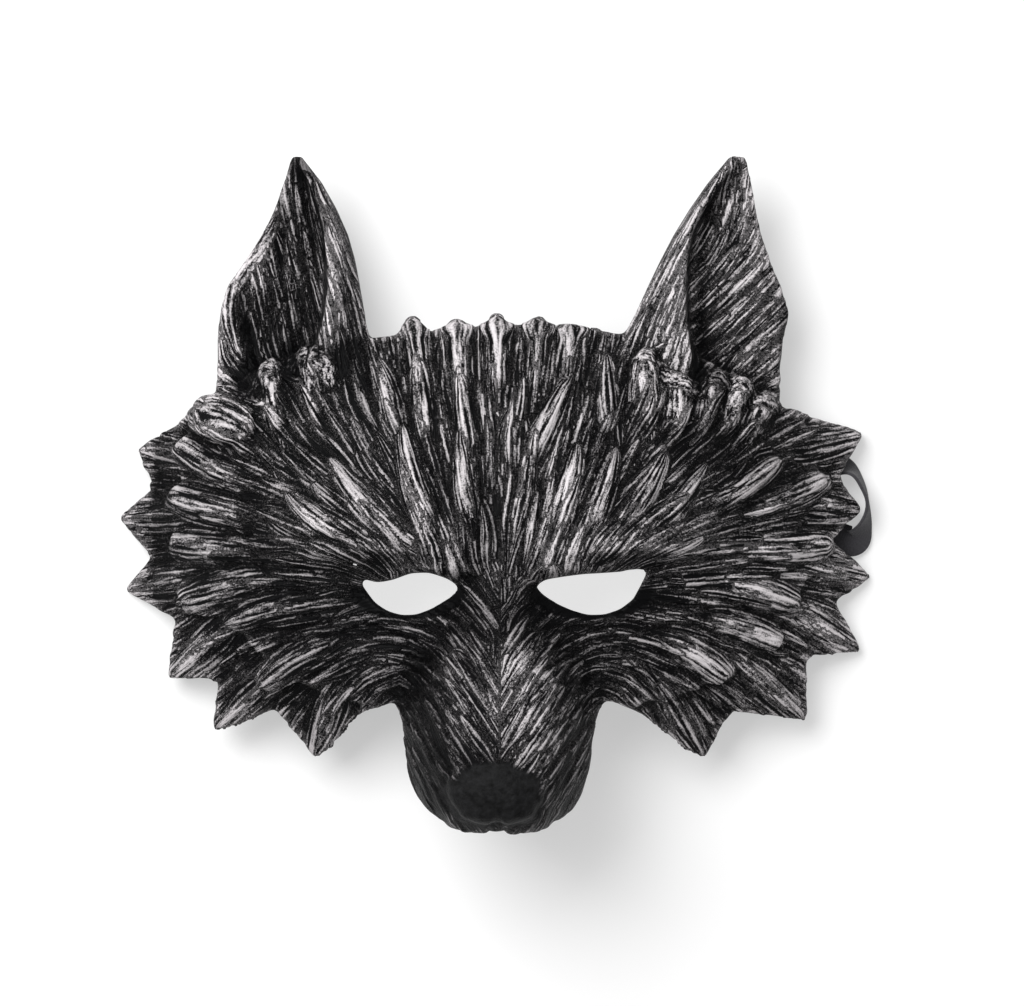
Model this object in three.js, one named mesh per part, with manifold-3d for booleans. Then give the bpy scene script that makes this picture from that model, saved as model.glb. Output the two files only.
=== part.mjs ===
// A wolf half mask, moulded in one piece from polyurethane foam, with an elastic band behind it.
// It lies face up: x runs to the right of the face, y towards the ears, z up out of the face.
// The tables are written from the midline (x), the eye line (y) and the surface it lies on (z).
import * as THREE from 'three';
import { mergeVertices } from 'three/addons/utils/BufferGeometryUtils.js';
import Module from 'manifold-3d';

const wasm = await Module();
wasm.setup();

// Driving sizes, in millimetres
const WALL = 3.6; // thickness of the moulded foam
const FACE_REACH = 128; // midline to where the cheeks run out
const FACE_TOP = 98; // eye line to the upper edge of the moulded sheet
const FACE_BOTTOM = -86; // eye line to its lower edge
const CHEEK_RIM = 6; // height of the cheeks where they run out
const CHEEK_FULLNESS = 1.9; // power of the curve from midline to cheek
const MUZZLE_FOOT = -20; // height that the sides of the muzzle run down to, inside the face
const MUZZLE_SQUARENESS = 2.8; // power of the muzzle's cross-section
const MUZZLE_BLEND = 11; // width of the fillet between muzzle and face
const TALLEST = 130; // above everything, for the trimming cuts
const GAP = 0.3; // clearance between separate pieces

// Grid of the moulded sheet: cells are finer towards the muzzle than at the edges
const OUTER_GRID = { columns: 46, rows: 28 };
const TIER_GRID = { columns: 30, rows: 18 };
const INNER_GRID = { columns: 32, rows: 20 };
const COLUMN_EASE = 0.62;
const ROW_EASE = 0.75;

// Height of the forehead and of the space between the cheeks along the midline
const CROWN = [
  { y: -90, height: 18 },
  { y: -60, height: 33 },
  { y: -38, height: 49 },
  { y: -12, height: 60 },
  { y: 12, height: 66 },
  { y: 36, height: 65 },
  { y: 62, height: 57 },
  { y: 85, height: 44 },
  { y: 102, height: 30 },
];

// Muzzle sections, from the brow down to the lip
const MUZZLE = [
  { y: -90, ridge: 52, half: 14 },
  { y: -83, ridge: 78, half: 24 },
  { y: -79, ridge: 92, half: 30 },
  { y: -72, ridge: 102, half: 35 },
  { y: -62, ridge: 103, half: 37 },
  { y: -46, ridge: 95, half: 37 },
  { y: -26, ridge: 83, half: 30 },
  { y: -8, ridge: 72, half: 19 },
  { y: 8, ridge: 66, half: 13 },
  { y: 22, ridge: 60, half: 11 },
  { y: 40, ridge: 36, half: 9 },
  { y: 60, ridge: 0, half: 9 },
];

// Lower edge of the muzzle's walls, from the cheek to the front of the lip
const LIP = [
  { y: -34, z: 34 }, { y: -42, z: 43 }, { y: -56, z: 48 }, { y: -70, z: 53 }, { y: -80, z: 60 }, { y: -92, z: 70 },
];
const LIP_HALF_WIDTH = 36.5;

// Inside of the muzzle's walls, seen from the front
const MUZZLE_INSIDE = [
  { x: -29.5, y: -44 }, { x: -27.5, y: -60 }, { x: -23, y: -70.5 }, { x: -14, y: -76 }, { x: 0, y: -77.6 },
  { x: 14, y: -76 }, { x: 23, y: -70.5 }, { x: 26.5, y: -60 }, { x: 28.5, y: -44 },
];

// Brow: a swelling above the line of the eyes, and the sunk socket under it
const BROW = { inner: 10, outer: 62, fade: 20, lineAtInner: 2, slope: 0.2, rise: 8, depth: 40, edge: 5 };
const SOCKET = { x: 33, y: -3, halfWidth: 27, halfHeight: 13, depth: 7 };
const NOSE = { x: -1, y: -67, z: 97, halfWidth: 17.5, halfHeight: 11.5, halfDepth: 9 };

// Edge of the upper tier of fur, which steps down to the lower tier. It runs outside the rim where there is none.
const RING = [
  { x: -46, y: 102 }, { x: -86, y: 88 }, { x: -105, y: 62 }, { x: -110, y: 48 }, { x: -111, y: 30 },
  { x: -109, y: 10 }, { x: -103, y: -5 }, { x: -90, y: -14 }, { x: -78, y: -27 }, { x: -62, y: -35 },
  { x: -48, y: -39 }, { x: -43, y: -52 }, { x: -42, y: -92 }, { x: 42, y: -92 }, { x: 43, y: -52 },
  { x: 48, y: -39 }, { x: 62, y: -36 }, { x: 80, y: -28 }, { x: 94, y: -16 }, { x: 102, y: -4 },
  { x: 109, y: 10 }, { x: 111, y: 28 }, { x: 110, y: 46 }, { x: 104, y: 62 }, { x: 82, y: 88 }, { x: 42, y: 102 },
];
const TIER = {
  step: 3.5, foot: 2, blend: 2, drop: 2.5, dropFrom: 118, dropTo: 127,
  middleY: 25, reachX: 110, reachY: 62, clearOfMuzzle: 34,
};

// Where the lower tier stands clear of the band, which comes out under it on the right
const ARCH = { fromX: 104, toX: 117, lowY: 4.5, highY: 55, blend: 9, rise: 5.5 };

// Rim of the lower tier, from the left ear round by the muzzle: points of the spikes, and the rest
const RIM = [
  { x: -46, y: 87.5 }, { x: -76, y: 81 }, { x: -101, y: 66 }, { x: -111, y: 59 },
  { x: -126, y: 49, spike: true }, { x: -121, y: 36 }, { x: -132.5, y: 25, spike: true }, { x: -121.5, y: 12 },
  { x: -130.5, y: 0, spike: true }, { x: -113, y: -10 }, { x: -115.5, y: -30.5, spike: true }, { x: -98, y: -31 },
  { x: -99.5, y: -48.5, spike: true }, { x: -78, y: -41 }, { x: -64, y: -58, spike: true }, { x: -54, y: -45 },
  { x: -41, y: -40 }, { x: -35.5, y: -39 }, { x: -33, y: -48 }, { x: -31, y: -62 }, { x: -26, y: -74 },
  { x: -16, y: -80 }, { x: 0, y: -81.5 }, { x: 16, y: -80 }, { x: 26, y: -74 }, { x: 30, y: -62 },
  { x: 32, y: -48 }, { x: 35.5, y: -38 }, { x: 43, y: -40 }, { x: 56, y: -46 },
  { x: 71, y: -58, spike: true }, { x: 80, y: -42 }, { x: 106.5, y: -45, spike: true }, { x: 107, y: -23 },
  { x: 125.5, y: -21, spike: true }, { x: 117, y: -4 }, { x: 129, y: 4.5, spike: true }, { x: 115, y: 18 },
  { x: 126, y: 28, spike: true }, { x: 118, y: 39.5 }, { x: 126.5, y: 54.5, spike: true }, { x: 107, y: 61 },
  { x: 96, y: 65 }, { x: 72, y: 80 }, { x: 40, y: 89.5 }, { x: 0, y: 92 },
];
const RIM_SEGMENTS = 2;

// Eye openings, each from its outer corner along the brow and back under the eye
const EYES = [
  [
    { x: -49.5, y: 5.5 }, { x: -41, y: 2.8 }, { x: -27, y: 6.8 }, { x: -14.5, y: 2 },
    { x: -20, y: -4 }, { x: -31, y: -8.4 }, { x: -42, y: -5 },
  ],
  [
    { x: 51, y: 7.5 }, { x: 38, y: 6.4 }, { x: 26, y: 5.6 }, { x: 12.5, y: 2.6 },
    { x: 20, y: -4.4 }, { x: 33, y: -8.4 }, { x: 45, y: -4 },
  ],
];

// Ear sections from base to tip. x: free outer edge, front fold, inner edge. z: height of each and of the cup.
const LEFT_EAR = [
  { y: 60, outer: -100, fold: -64, inner: -40, outerZ: 22, cupZ: 33, foldZ: 42, innerZ: 44 },
  { y: 74, outer: -98.5, fold: -63.5, inner: -43, outerZ: 21, cupZ: 31, foldZ: 43, innerZ: 41 },
  { y: 88, outer: -98.5, fold: -61, inner: -45.5, outerZ: 21, cupZ: 27, foldZ: 41, innerZ: 35 },
  { y: 100, outer: -97, fold: -58, inner: -47.5, outerZ: 22, cupZ: 25, foldZ: 39, innerZ: 31 },
  { y: 108, outer: -93.5, fold: -58, inner: -49, outerZ: 22.5, cupZ: 24.5, foldZ: 38, innerZ: 29.5 },
  { y: 118, outer: -86, fold: -59, inner: -51, outerZ: 23.5, cupZ: 24.5, foldZ: 36.5, innerZ: 28.5 },
  { y: 128, outer: -80.5, fold: -60.5, inner: -54.5, outerZ: 24.5, cupZ: 25, foldZ: 35, innerZ: 28 },
  { y: 142, outer: -75, fold: -65.5, inner: -62, outerZ: 26, cupZ: 26.5, foldZ: 32.5, innerZ: 28 },
  { y: 151, outer: -72.6, fold: -70.6, inner: -69, outerZ: 28, cupZ: 28.5, foldZ: 30, innerZ: 28.5 },
];
const RIGHT_EAR = [
  { y: 60, outer: 97, fold: 66, inner: 33, outerZ: 22, cupZ: 33, foldZ: 42, innerZ: 46 },
  { y: 74, outer: 97.5, fold: 65, inner: 36, outerZ: 21, cupZ: 31, foldZ: 43, innerZ: 42 },
  { y: 88, outer: 99, fold: 63, inner: 42.5, outerZ: 21, cupZ: 27, foldZ: 41, innerZ: 35 },
  { y: 98, outer: 101, fold: 62.5, inner: 48, outerZ: 22, cupZ: 25, foldZ: 39, innerZ: 31 },
  { y: 108, outer: 97, fold: 63, inner: 52.5, outerZ: 22.5, cupZ: 24.5, foldZ: 38, innerZ: 29.5 },
  { y: 118, outer: 93, fold: 64, inner: 57.5, outerZ: 23.5, cupZ: 24.5, foldZ: 36.5, innerZ: 28.5 },
  { y: 128, outer: 90, fold: 67.5, inner: 63, outerZ: 24.5, cupZ: 25, foldZ: 35, innerZ: 28 },
  { y: 142, outer: 87.5, fold: 76.5, inner: 72.5, outerZ: 26, cupZ: 26.5, foldZ: 32.5, innerZ: 28 },
  { y: 151, outer: 85.6, fold: 83, inner: 80, outerZ: 28, cupZ: 28.5, foldZ: 30, innerZ: 28.5 },
];
const EAR_GRID = { columns: 10, rows: 10 };
const EAR_LIP = { share: 0.1, rise: 4 }; // raised lip just inside the free edge
const EAR_CUP_SHARE = 0.8; // place of the cup's floor between free edge and fold
const EAR_EDGE = { columns: 2, share: 0.6 }; // share of the wall that is left at the free edge

// Fur locks that lie on the face, root to tip. bow bends a lock to its left. A round one ends less sharply
// than the rest, and a blunt one ends wide.
const FUR_LOCKS = [
  // upper edge of the forehead
  { rootX: -24, rootY: 62, tipX: -30, tipY: 95, bow: 1, width: 13, rise: 3.5, round: true },
  { rootX: -12, rootY: 60, tipX: -15, tipY: 94, bow: 0, width: 13, rise: 3.5, round: true },
  { rootX: -1, rootY: 60, tipX: -1, tipY: 96.5, bow: 0, width: 11, rise: 3.5, round: true },
  { rootX: 12, rootY: 62, tipX: 13.5, tipY: 95, bow: 0, width: 11, rise: 3.5, round: true },
  { rootX: 20, rootY: 64, tipX: 25, tipY: 92, bow: 0, width: 13, rise: 3.5, round: true },
  // middle of the forehead
  { rootX: -35, rootY: 46, tipX: -43, tipY: 79, bow: -2, width: 15, rise: 2.8 },
  { rootX: -24, rootY: 44, tipX: -28.5, tipY: 79, bow: 0, width: 14, rise: 2.8 },
  { rootX: -9, rootY: 38, tipX: -13.5, tipY: 73, bow: 0, width: 12, rise: 2.6 },
  { rootX: 8, rootY: 38, tipX: 24, tipY: 73, bow: 1, width: 13, rise: 2.8 },
  { rootX: 40, rootY: 48, tipX: 37, tipY: 80, bow: 1, width: 14, rise: 2.8 },
  // brow
  { rootX: -16, rootY: 12, tipX: -33, tipY: 56, bow: 4, width: 17, rise: 3.8 },
  { rootX: -5, rootY: 14, tipX: -13, tipY: 54, bow: 3, width: 13, rise: 3 },
  { rootX: -29, rootY: 16, tipX: -57, tipY: 44, bow: 3, width: 18, rise: 3 },
  { rootX: -44, rootY: 15, tipX: -72, tipY: 33, bow: 3, width: 17, rise: 3 },
  { rootX: 4, rootY: 14, tipX: 10, tipY: 47, bow: -1, width: 12, rise: 3 },
  { rootX: 16, rootY: 14, tipX: 26, tipY: 49, bow: -2, width: 15, rise: 3.4 },
  { rootX: 27, rootY: 16, tipX: 39, tipY: 47, bow: -2, width: 13, rise: 3 },
  { rootX: 37, rootY: 17, tipX: 56, tipY: 46, bow: -2, width: 15, rise: 3 },
  { rootX: 50, rootY: 20, tipX: 70, tipY: 42, bow: -2, width: 15, rise: 3 },
  // tufts over the foot of each ear
  { rootX: -80, rootY: 48, tipX: -105, tipY: 61, bow: 0, width: 24, rise: 6, blunt: true },
  { rootX: -76, rootY: 48, tipX: -81, tipY: 78, bow: 0, width: 16, rise: 4.5, blunt: true },
  { rootX: -62, rootY: 52, tipX: -68, tipY: 82, bow: 0, width: 18, rise: 4, blunt: true },
  { rootX: 53, rootY: 52, tipX: 50, tipY: 83, bow: 0, width: 18, rise: 5.5, blunt: true },
  { rootX: 60, rootY: 49, tipX: 65, tipY: 76, bow: 0, width: 15, rise: 5, blunt: true },
  { rootX: 69, rootY: 49, tipX: 76, tipY: 75, bow: 0, width: 15, rise: 5.5, blunt: true },
  { rootX: 77, rootY: 48, tipX: 85, tipY: 73.5, bow: 0, width: 14, rise: 5.5, blunt: true },
  { rootX: 84, rootY: 47, tipX: 94, tipY: 69, bow: 0, width: 14, rise: 5.5, blunt: true },
  // inner ring on the left cheek
  { rootX: -80, rootY: 36, tipX: -112, tipY: 51, bow: 3, width: 19, rise: 5, blunt: true },
  { rootX: -79, rootY: 26, tipX: -115, tipY: 33, bow: 2, width: 20, rise: 5.5, blunt: true },
  { rootX: -78, rootY: 14, tipX: -114.5, tipY: 16, bow: 1, width: 20, rise: 5.5, blunt: true },
  { rootX: -70, rootY: 5, tipX: -110.5, tipY: -4.5, bow: -2, width: 23, rise: 6, blunt: true },
  { rootX: -60, rootY: -4, tipX: -93, tipY: -11, bow: -2, width: 18, rise: 5, blunt: true },
  { rootX: -49, rootY: -15, tipX: -82, tipY: -32.5, bow: -3, width: 19, rise: 5, blunt: true },
  // inner ring on the right cheek
  { rootX: 66, rootY: 25, tipX: 96, tipY: 44.5, bow: -2, width: 15, rise: 4.5, blunt: true },
  { rootX: 80, rootY: 27, tipX: 113, tipY: 38.5, bow: -2, width: 19, rise: 5, blunt: true },
  { rootX: 81, rootY: 14, tipX: 116, tipY: 16, bow: 0, width: 19, rise: 5, blunt: true },
  { rootX: 70, rootY: 2, tipX: 103, tipY: -5.5, bow: 2, width: 20, rise: 5.5, blunt: true },
  { rootX: 66, rootY: -10, tipX: 97, tipY: -18.5, bow: 2, width: 18, rise: 5, blunt: true },
  { rootX: 49, rootY: -15, tipX: 78, tipY: -30.5, bow: 3, width: 19, rise: 5, blunt: true },
];
const LOCK_STEPS = 5;

// Ridges out to the points of the spikes
const RIM_SPIKES = [
  { rootX: -98, rootY: 43, tipX: -126, tipY: 49, width: 20 },
  { rootX: -100, rootY: 27, tipX: -132.5, tipY: 25, width: 22 },
  { rootX: -98, rootY: 7, tipX: -130.5, tipY: 0, width: 22 },
  { rootX: -89, rootY: -8, tipX: -115.5, tipY: -30.5, width: 22 },
  { rootX: -74, rootY: -24, tipX: -99.5, tipY: -48.5, width: 21 },
  { rootX: -54, rootY: -30, tipX: -64, tipY: -58, width: 20 },
  { rootX: 94, rootY: 48, tipX: 126.5, tipY: 54.5, width: 20 },
  { rootX: 97, rootY: 31, tipX: 126, tipY: 28, width: 20 },
  { rootX: 97, rootY: 12.5, tipX: 129, tipY: 4.5, width: 20 },
  { rootX: 97, rootY: -5, tipX: 125.5, tipY: -21, width: 22 },
  { rootX: 80, rootY: -21, tipX: 106.5, tipY: -45, width: 22 },
  { rootX: 53, rootY: -30, tipX: 71, tipY: -58, width: 21 },
];
const SPIKE = { rise: 4, keel: 2.4, blunt: 0.06, rests: 4.5 }; // rests: a point this low stands on the surface

// Elastic band and the rivet at each end of it
const STRAP_WIDTH = 11;
const STRAP_THICKNESS = 1.2;
const STRAP_STEPS = 56;
const ANCHOR = { x: 108, y: 21, bossRadius: 5, bossFoot: 7.5, bossTop: 19 };
const RIVET = { headRadius: 4, headHeight: 1.5, stemRadius: 1.5, stemInBoss: 5, sides: 16 };
const STRAP_Z = ANCHOR.bossFoot - GAP - STRAP_THICKNESS / 2;
const FLOOR_Z = STRAP_THICKNESS / 2 + GAP;

// Route of the band's middle from the right end to the left one. lean 0 is flat, 90 stands on edge.
const STRAP_ROUTE = [
  { x: 103, y: 21, z: STRAP_Z, lean: 0 },
  { x: 113, y: 20.5, z: STRAP_Z, lean: 0 },
  { x: 118.5, y: 18.2, z: 5.2, lean: 5 },
  { x: 124, y: 17.2, z: 4.2, lean: 20 },
  { x: 127.1, y: 21.4, z: 5.2, lean: 58 },
  { x: 128.6, y: 29.5, z: 6.3, lean: 86 },
  { x: 127, y: 36, z: 6.3, lean: 82 },
  { x: 123.6, y: 41.4, z: 5.9, lean: 72 },
  { x: 115, y: 44.2, z: 3, lean: 22 },
  { x: 102, y: 46.5, z: 1, lean: 2 },
  { x: 84, y: 50.5, z: FLOOR_Z, lean: 0 },
  { x: 50, y: 55, z: FLOOR_Z, lean: 0 },
  { x: 0, y: 58, z: FLOOR_Z, lean: 0 },
  { x: -50, y: 54, z: FLOOR_Z, lean: 0 },
  { x: -78, y: 46, z: FLOOR_Z, lean: 0 },
  { x: -90, y: 37.5, z: 2.6, lean: 0 },
  { x: -97, y: 31.5, z: 5.2, lean: 0 },
  { x: -102, y: 27, z: STRAP_Z, lean: 0 },
  { x: -108, y: 21, z: STRAP_Z, lean: 0 },
  { x: -112, y: 16.5, z: STRAP_Z, lean: 0 },
];

const FOAM = new THREE.MeshStandardMaterial({ color: 0x3a393c, roughness: 0.55, metalness: 0.1 });
const ELASTIC = new THREE.MeshStandardMaterial({ color: 0x2b2b2d, roughness: 0.9, metalness: 0 });
const RIVET_BLACK = new THREE.MeshStandardMaterial({ color: 0x1b1b1c, roughness: 0.4, metalness: 0 });

const { lerp, smoothstep } = THREE.MathUtils;

// A column of a table at any y, on a smooth curve through its rows, which run up in y.
function valueAt(rows, key, y) {
  const last = rows.length - 1;
  const held = THREE.MathUtils.clamp(y, rows[0].y, rows[last].y);
  let i = 0;
  while (i < last - 1 && held > rows[i + 1].y) i++;
  const slope = (k) => {
    const a = rows[Math.max(k - 1, 0)];
    const b = rows[Math.min(k + 1, last)];
    return (b[key] - a[key]) / (b.y - a.y);
  };
  const span = rows[i + 1].y - rows[i].y;
  const t = (held - rows[i].y) / span;
  const start = rows[i][key];
  const end = rows[i + 1][key];
  const bend = (1 - t) * slope(i) * span - t * slope(i + 1) * span + (2 * t - 1) * (end - start);
  return start + t * (end - start) + t * (1 - t) * bend;
}

function smoothMax(a, b, width) {
  return (a + b + Math.hypot(a - b, width)) / 2;
}

// Height of the muzzle above the surface, without the face round it.
function muzzleHeight(x, y) {
  const across = Math.min(Math.abs(x) / valueAt(MUZZLE, 'half', y), 1);
  const rounded = Math.sqrt(1 - across ** MUZZLE_SQUARENESS);
  return lerp(MUZZLE_FOOT, valueAt(MUZZLE, 'ridge', y), rounded);
}

function browRise(x, y) {
  const side = Math.abs(x);
  const above = y - BROW.lineAtInner - BROW.slope * (side - BROW.inner);
  const across = smoothstep(side, BROW.inner - 6, BROW.inner + 6)
    * (1 - smoothstep(side, BROW.outer, BROW.outer + BROW.fade));
  const up = smoothstep(above, -BROW.edge / 2, BROW.edge / 2) * (1 - smoothstep(above, BROW.edge, BROW.depth));
  return BROW.rise * across * up;
}

function socketDepth(x, y) {
  const dx = (Math.abs(x) - SOCKET.x) / SOCKET.halfWidth;
  const dy = (y - SOCKET.y) / SOCKET.halfHeight;
  return SOCKET.depth * Math.exp(-(dx * dx + dy * dy));
}

// Height of the head without muzzle, brow and eyes.
function headHeight(x, y) {
  const fall = (Math.abs(x) / FACE_REACH) ** CHEEK_FULLNESS;
  return lerp(valueAt(CROWN, 'height', y), CHEEK_RIM, fall);
}

// Outside of the upper tier before the locks are added.
function faceHeight(x, y) {
  return smoothMax(headHeight(x, y), muzzleHeight(x, y), MUZZLE_BLEND) + browRise(x, y) - socketDepth(x, y);
}

// Outside of the lower tier, which runs out flat on the surface that the mask lies on.
function tierHeight(x, y) {
  const drop = TIER.drop * smoothstep(Math.abs(x), TIER.dropFrom, TIER.dropTo);
  const above = smoothstep(y, ARCH.lowY, ARCH.lowY + ARCH.blend);
  const below = 1 - smoothstep(y, ARCH.highY - ARCH.blend, ARCH.highY);
  const arch = ARCH.rise * smoothstep(x, ARCH.fromX, ARCH.toX) * above * below;
  return smoothMax(headHeight(x, y) - TIER.step - drop, TIER.foot, TIER.blend) + arch;
}

// The lower one of the two where both are there, for the inside to follow.
function innerHeight(x, y) {
  const out = Math.hypot(x / TIER.reachX, (y - TIER.middleY) / TIER.reachY);
  const beside = smoothstep(Math.abs(x), TIER.clearOfMuzzle, TIER.clearOfMuzzle + 14);
  return lerp(faceHeight(x, y), tierHeight(x, y), smoothstep(out, 0.8, 1.02) * beside);
}

// Inside of the sheet: a wall's thickness under the outside, measured square to the slope.
function hollowHeight(x, y) {
  const step = 2;
  const slopeX = (innerHeight(x + step, y) - innerHeight(x - step, y)) / (2 * step);
  const slopeY = (innerHeight(x, y + step) - innerHeight(x, y - step)) / (2 * step);
  return innerHeight(x, y) - WALL * Math.hypot(1, slopeX, slopeY);
}

function toSolid(geometry) {
  const bare = geometry.clone();
  bare.deleteAttribute('normal');
  bare.deleteAttribute('uv');
  const merged = mergeVertices(bare);
  return new wasm.Manifold(new wasm.Mesh({
    numProp: 3,
    vertProperties: new Float32Array(merged.attributes.position.array),
    triVerts: new Uint32Array(merged.index.array),
  }));
}

function toGeometry(solid) {
  const { vertProperties, triVerts } = solid.getMesh();
  const geometry = new THREE.BufferGeometry();
  geometry.setAttribute('position', new THREE.BufferAttribute(new Float32Array(vertProperties), 3));
  geometry.setIndex(new THREE.BufferAttribute(new Uint32Array(triVerts), 1));
  geometry.computeVertexNormals();
  return geometry;
}

function indexedGeometry(points, triangles) {
  const geometry = new THREE.BufferGeometry().setFromPoints(points);
  geometry.setIndex(triangles);
  return geometry;
}

// A closed sheet between two grids of points, top[row][column] and bottom[row][column].
function sheetSolid(top, bottom) {
  const rows = top.length;
  const columns = top[0].length;
  const count = rows * columns;
  const at = (row, column) => row * columns + column;
  const triangles = [];
  const quad = (a, b, c, d) => triangles.push(a, b, c, a, c, d);
  for (let row = 0; row < rows - 1; row++) {
    for (let column = 0; column < columns - 1; column++) {
      const corners = [at(row, column), at(row, column + 1), at(row + 1, column + 1), at(row + 1, column)];
      quad(...corners);
      quad(...corners.map((corner) => corner + count).reverse());
    }
  }
  const edge = (a, b) => quad(b, a, a + count, b + count);
  for (let column = 0; column < columns - 1; column++) {
    edge(at(0, column), at(0, column + 1));
    edge(at(rows - 1, column + 1), at(rows - 1, column));
  }
  for (let row = 0; row < rows - 1; row++) {
    edge(at(row + 1, 0), at(row, 0));
    edge(at(row, columns - 1), at(row + 1, columns - 1));
  }
  return toSolid(indexedGeometry([...top.flat(), ...bottom.flat()], triangles));
}

// A closed skin over rings of points that follow each other, with a fan over each end.
function ringSolid(rings) {
  const size = rings[0].length;
  const points = rings.flat();
  const triangles = [];
  for (let ring = 0; ring < rings.length - 1; ring++) {
    for (let k = 0; k < size; k++) {
      const a = ring * size + k;
      const b = ring * size + ((k + 1) % size);
      triangles.push(a, b, b + size, a, b + size, a + size);
    }
  }
  const fan = (ring, turned) => {
    const first = ring * size;
    for (let k = 1; k < size - 1; k++) {
      triangles.push(first, first + k + (turned ? 1 : 0), first + k + (turned ? 0 : 1));
    }
  };
  fan(0, true);
  fan(rings.length - 1, false);
  return toSolid(indexedGeometry(points, triangles));
}

// The block of everything between a height over the grid and a flat foot.
function blockUnder(height, grid, foot) {
  const top = [];
  const bottom = [];
  for (let row = 0; row <= grid.rows; row++) {
    const v = row / grid.rows;
    const y = lerp(FACE_BOTTOM, FACE_TOP, ROW_EASE * v + (1 - ROW_EASE) * v * v);
    const line = [];
    for (let column = 0; column <= grid.columns; column++) {
      const u = (2 * column) / grid.columns - 1;
      const x = (FACE_REACH + 4) * (COLUMN_EASE * u + (1 - COLUMN_EASE) * u * Math.abs(u));
      line.push(new THREE.Vector3(x, y, height(x, y)));
    }
    top.push(line);
    bottom.push(line.map((point) => new THREE.Vector3(point.x, point.y, foot)));
  }
  return sheetSolid(top, bottom);
}

function closedSpline(points, path) {
  const [first, ...rest] = points.map((point) => new THREE.Vector2(point.x, point.y));
  path.moveTo(first.x, first.y);
  path.splineThru([...rest, first]);
  return path;
}

// The outline of the rim: straight to and from the point of each spike, and smooth between them.
function rimOutline() {
  const outline = new THREE.Shape();
  const at = (point) => new THREE.Vector2(point.x, point.y);
  outline.moveTo(RIM[0].x, RIM[0].y);
  let smooth = [];
  const drawSmooth = () => {
    if (smooth.length > 1) outline.splineThru(smooth);
    else smooth.forEach((point) => outline.lineTo(point.x, point.y));
    smooth = [];
  };
  RIM.slice(1).forEach((point) => {
    if (point.spike) {
      drawSmooth();
      outline.lineTo(point.x, point.y);
    } else {
      smooth.push(at(point));
    }
  });
  smooth.push(at(RIM[0]));
  drawSmooth();
  return outline;
}

// A tall knife in the shape of an outline.
function knife(outline) {
  const geometry = new THREE.ExtrudeGeometry(outline, {
    depth: TALLEST + 20,
    bevelEnabled: false,
    curveSegments: RIM_SEGMENTS,
  });
  return toSolid(geometry.translate(0, 0, -10));
}

// The knife of the rim, with the eyes left out.
function rimPrism() {
  const outline = rimOutline();
  outline.holes = EYES.map((eye) => closedSpline(eye, new THREE.Path()));
  return knife(outline);
}

// A knife under the lip, which leaves the walls of the muzzle an even lower edge.
function lipPrism() {
  const [first, ...rest] = LIP.map((point) => new THREE.Vector2(point.y, point.z));
  const profile = new THREE.Shape();
  profile.moveTo(first.x, -10);
  profile.lineTo(first.x, first.y);
  profile.splineThru(rest);
  profile.lineTo(rest[rest.length - 1].x, -10);
  const geometry = new THREE.ExtrudeGeometry(profile, {
    depth: 2 * LIP_HALF_WIDTH,
    bevelEnabled: false,
    curveSegments: RIM_SEGMENTS,
  });
  geometry.rotateX(Math.PI / 2).rotateZ(Math.PI / 2);
  return toSolid(geometry.translate(-LIP_HALF_WIDTH, 0, 0));
}

// What stands round the inside of the muzzle, as a tall block.
function muzzleWall() {
  const first = MUZZLE_INSIDE[0];
  const last = MUZZLE_INSIDE[MUZZLE_INSIDE.length - 1];
  const outline = new THREE.Shape();
  outline.moveTo(first.x, first.y);
  outline.splineThru(MUZZLE_INSIDE.slice(1).map((point) => new THREE.Vector2(point.x, point.y)));
  outline.lineTo(LIP_HALF_WIDTH + 2, last.y);
  outline.lineTo(LIP_HALF_WIDTH + 2, FACE_BOTTOM - 10);
  outline.lineTo(-LIP_HALF_WIDTH - 2, FACE_BOTTOM - 10);
  outline.lineTo(-LIP_HALF_WIDTH - 2, first.y);
  return knife(outline);
}

// Everything behind the moulded sheet.
const hollow = blockUnder(hollowHeight, INNER_GRID, -20).subtract(muzzleWall());

// The moulded sheet: both tiers less the hollow, trimmed to the rim.
function faceSolid() {
  const upper = blockUnder(faceHeight, OUTER_GRID, -5).intersect(knife(closedSpline(RING, new THREE.Shape())));
  const lower = blockUnder(tierHeight, TIER_GRID, -5);
  return upper.add(lower).subtract(hollow).subtract(lipPrism()).intersect(rimPrism());
}

// Front of an ear at a share across it, from the free edge to the inner edge.
function earPoint(rows, across, y) {
  const at = (key) => valueAt(rows, key, y);
  const [outer, fold, inner] = ['outer', 'fold', 'inner'].map(at);
  const narrow = smoothstep(Math.abs(inner - outer), 2, 30);
  const section = new THREE.SplineCurve([
    new THREE.Vector2(outer, at('outerZ')),
    new THREE.Vector2(lerp(outer, fold, EAR_LIP.share), at('outerZ') + EAR_LIP.rise * narrow),
    new THREE.Vector2(lerp(outer, fold, EAR_CUP_SHARE), at('cupZ')),
    new THREE.Vector2(fold, at('foldZ')),
    new THREE.Vector2(inner, at('innerZ')),
  ]);
  const point = section.getPoint(across);
  return new THREE.Vector3(point.x, y, point.y);
}

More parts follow.
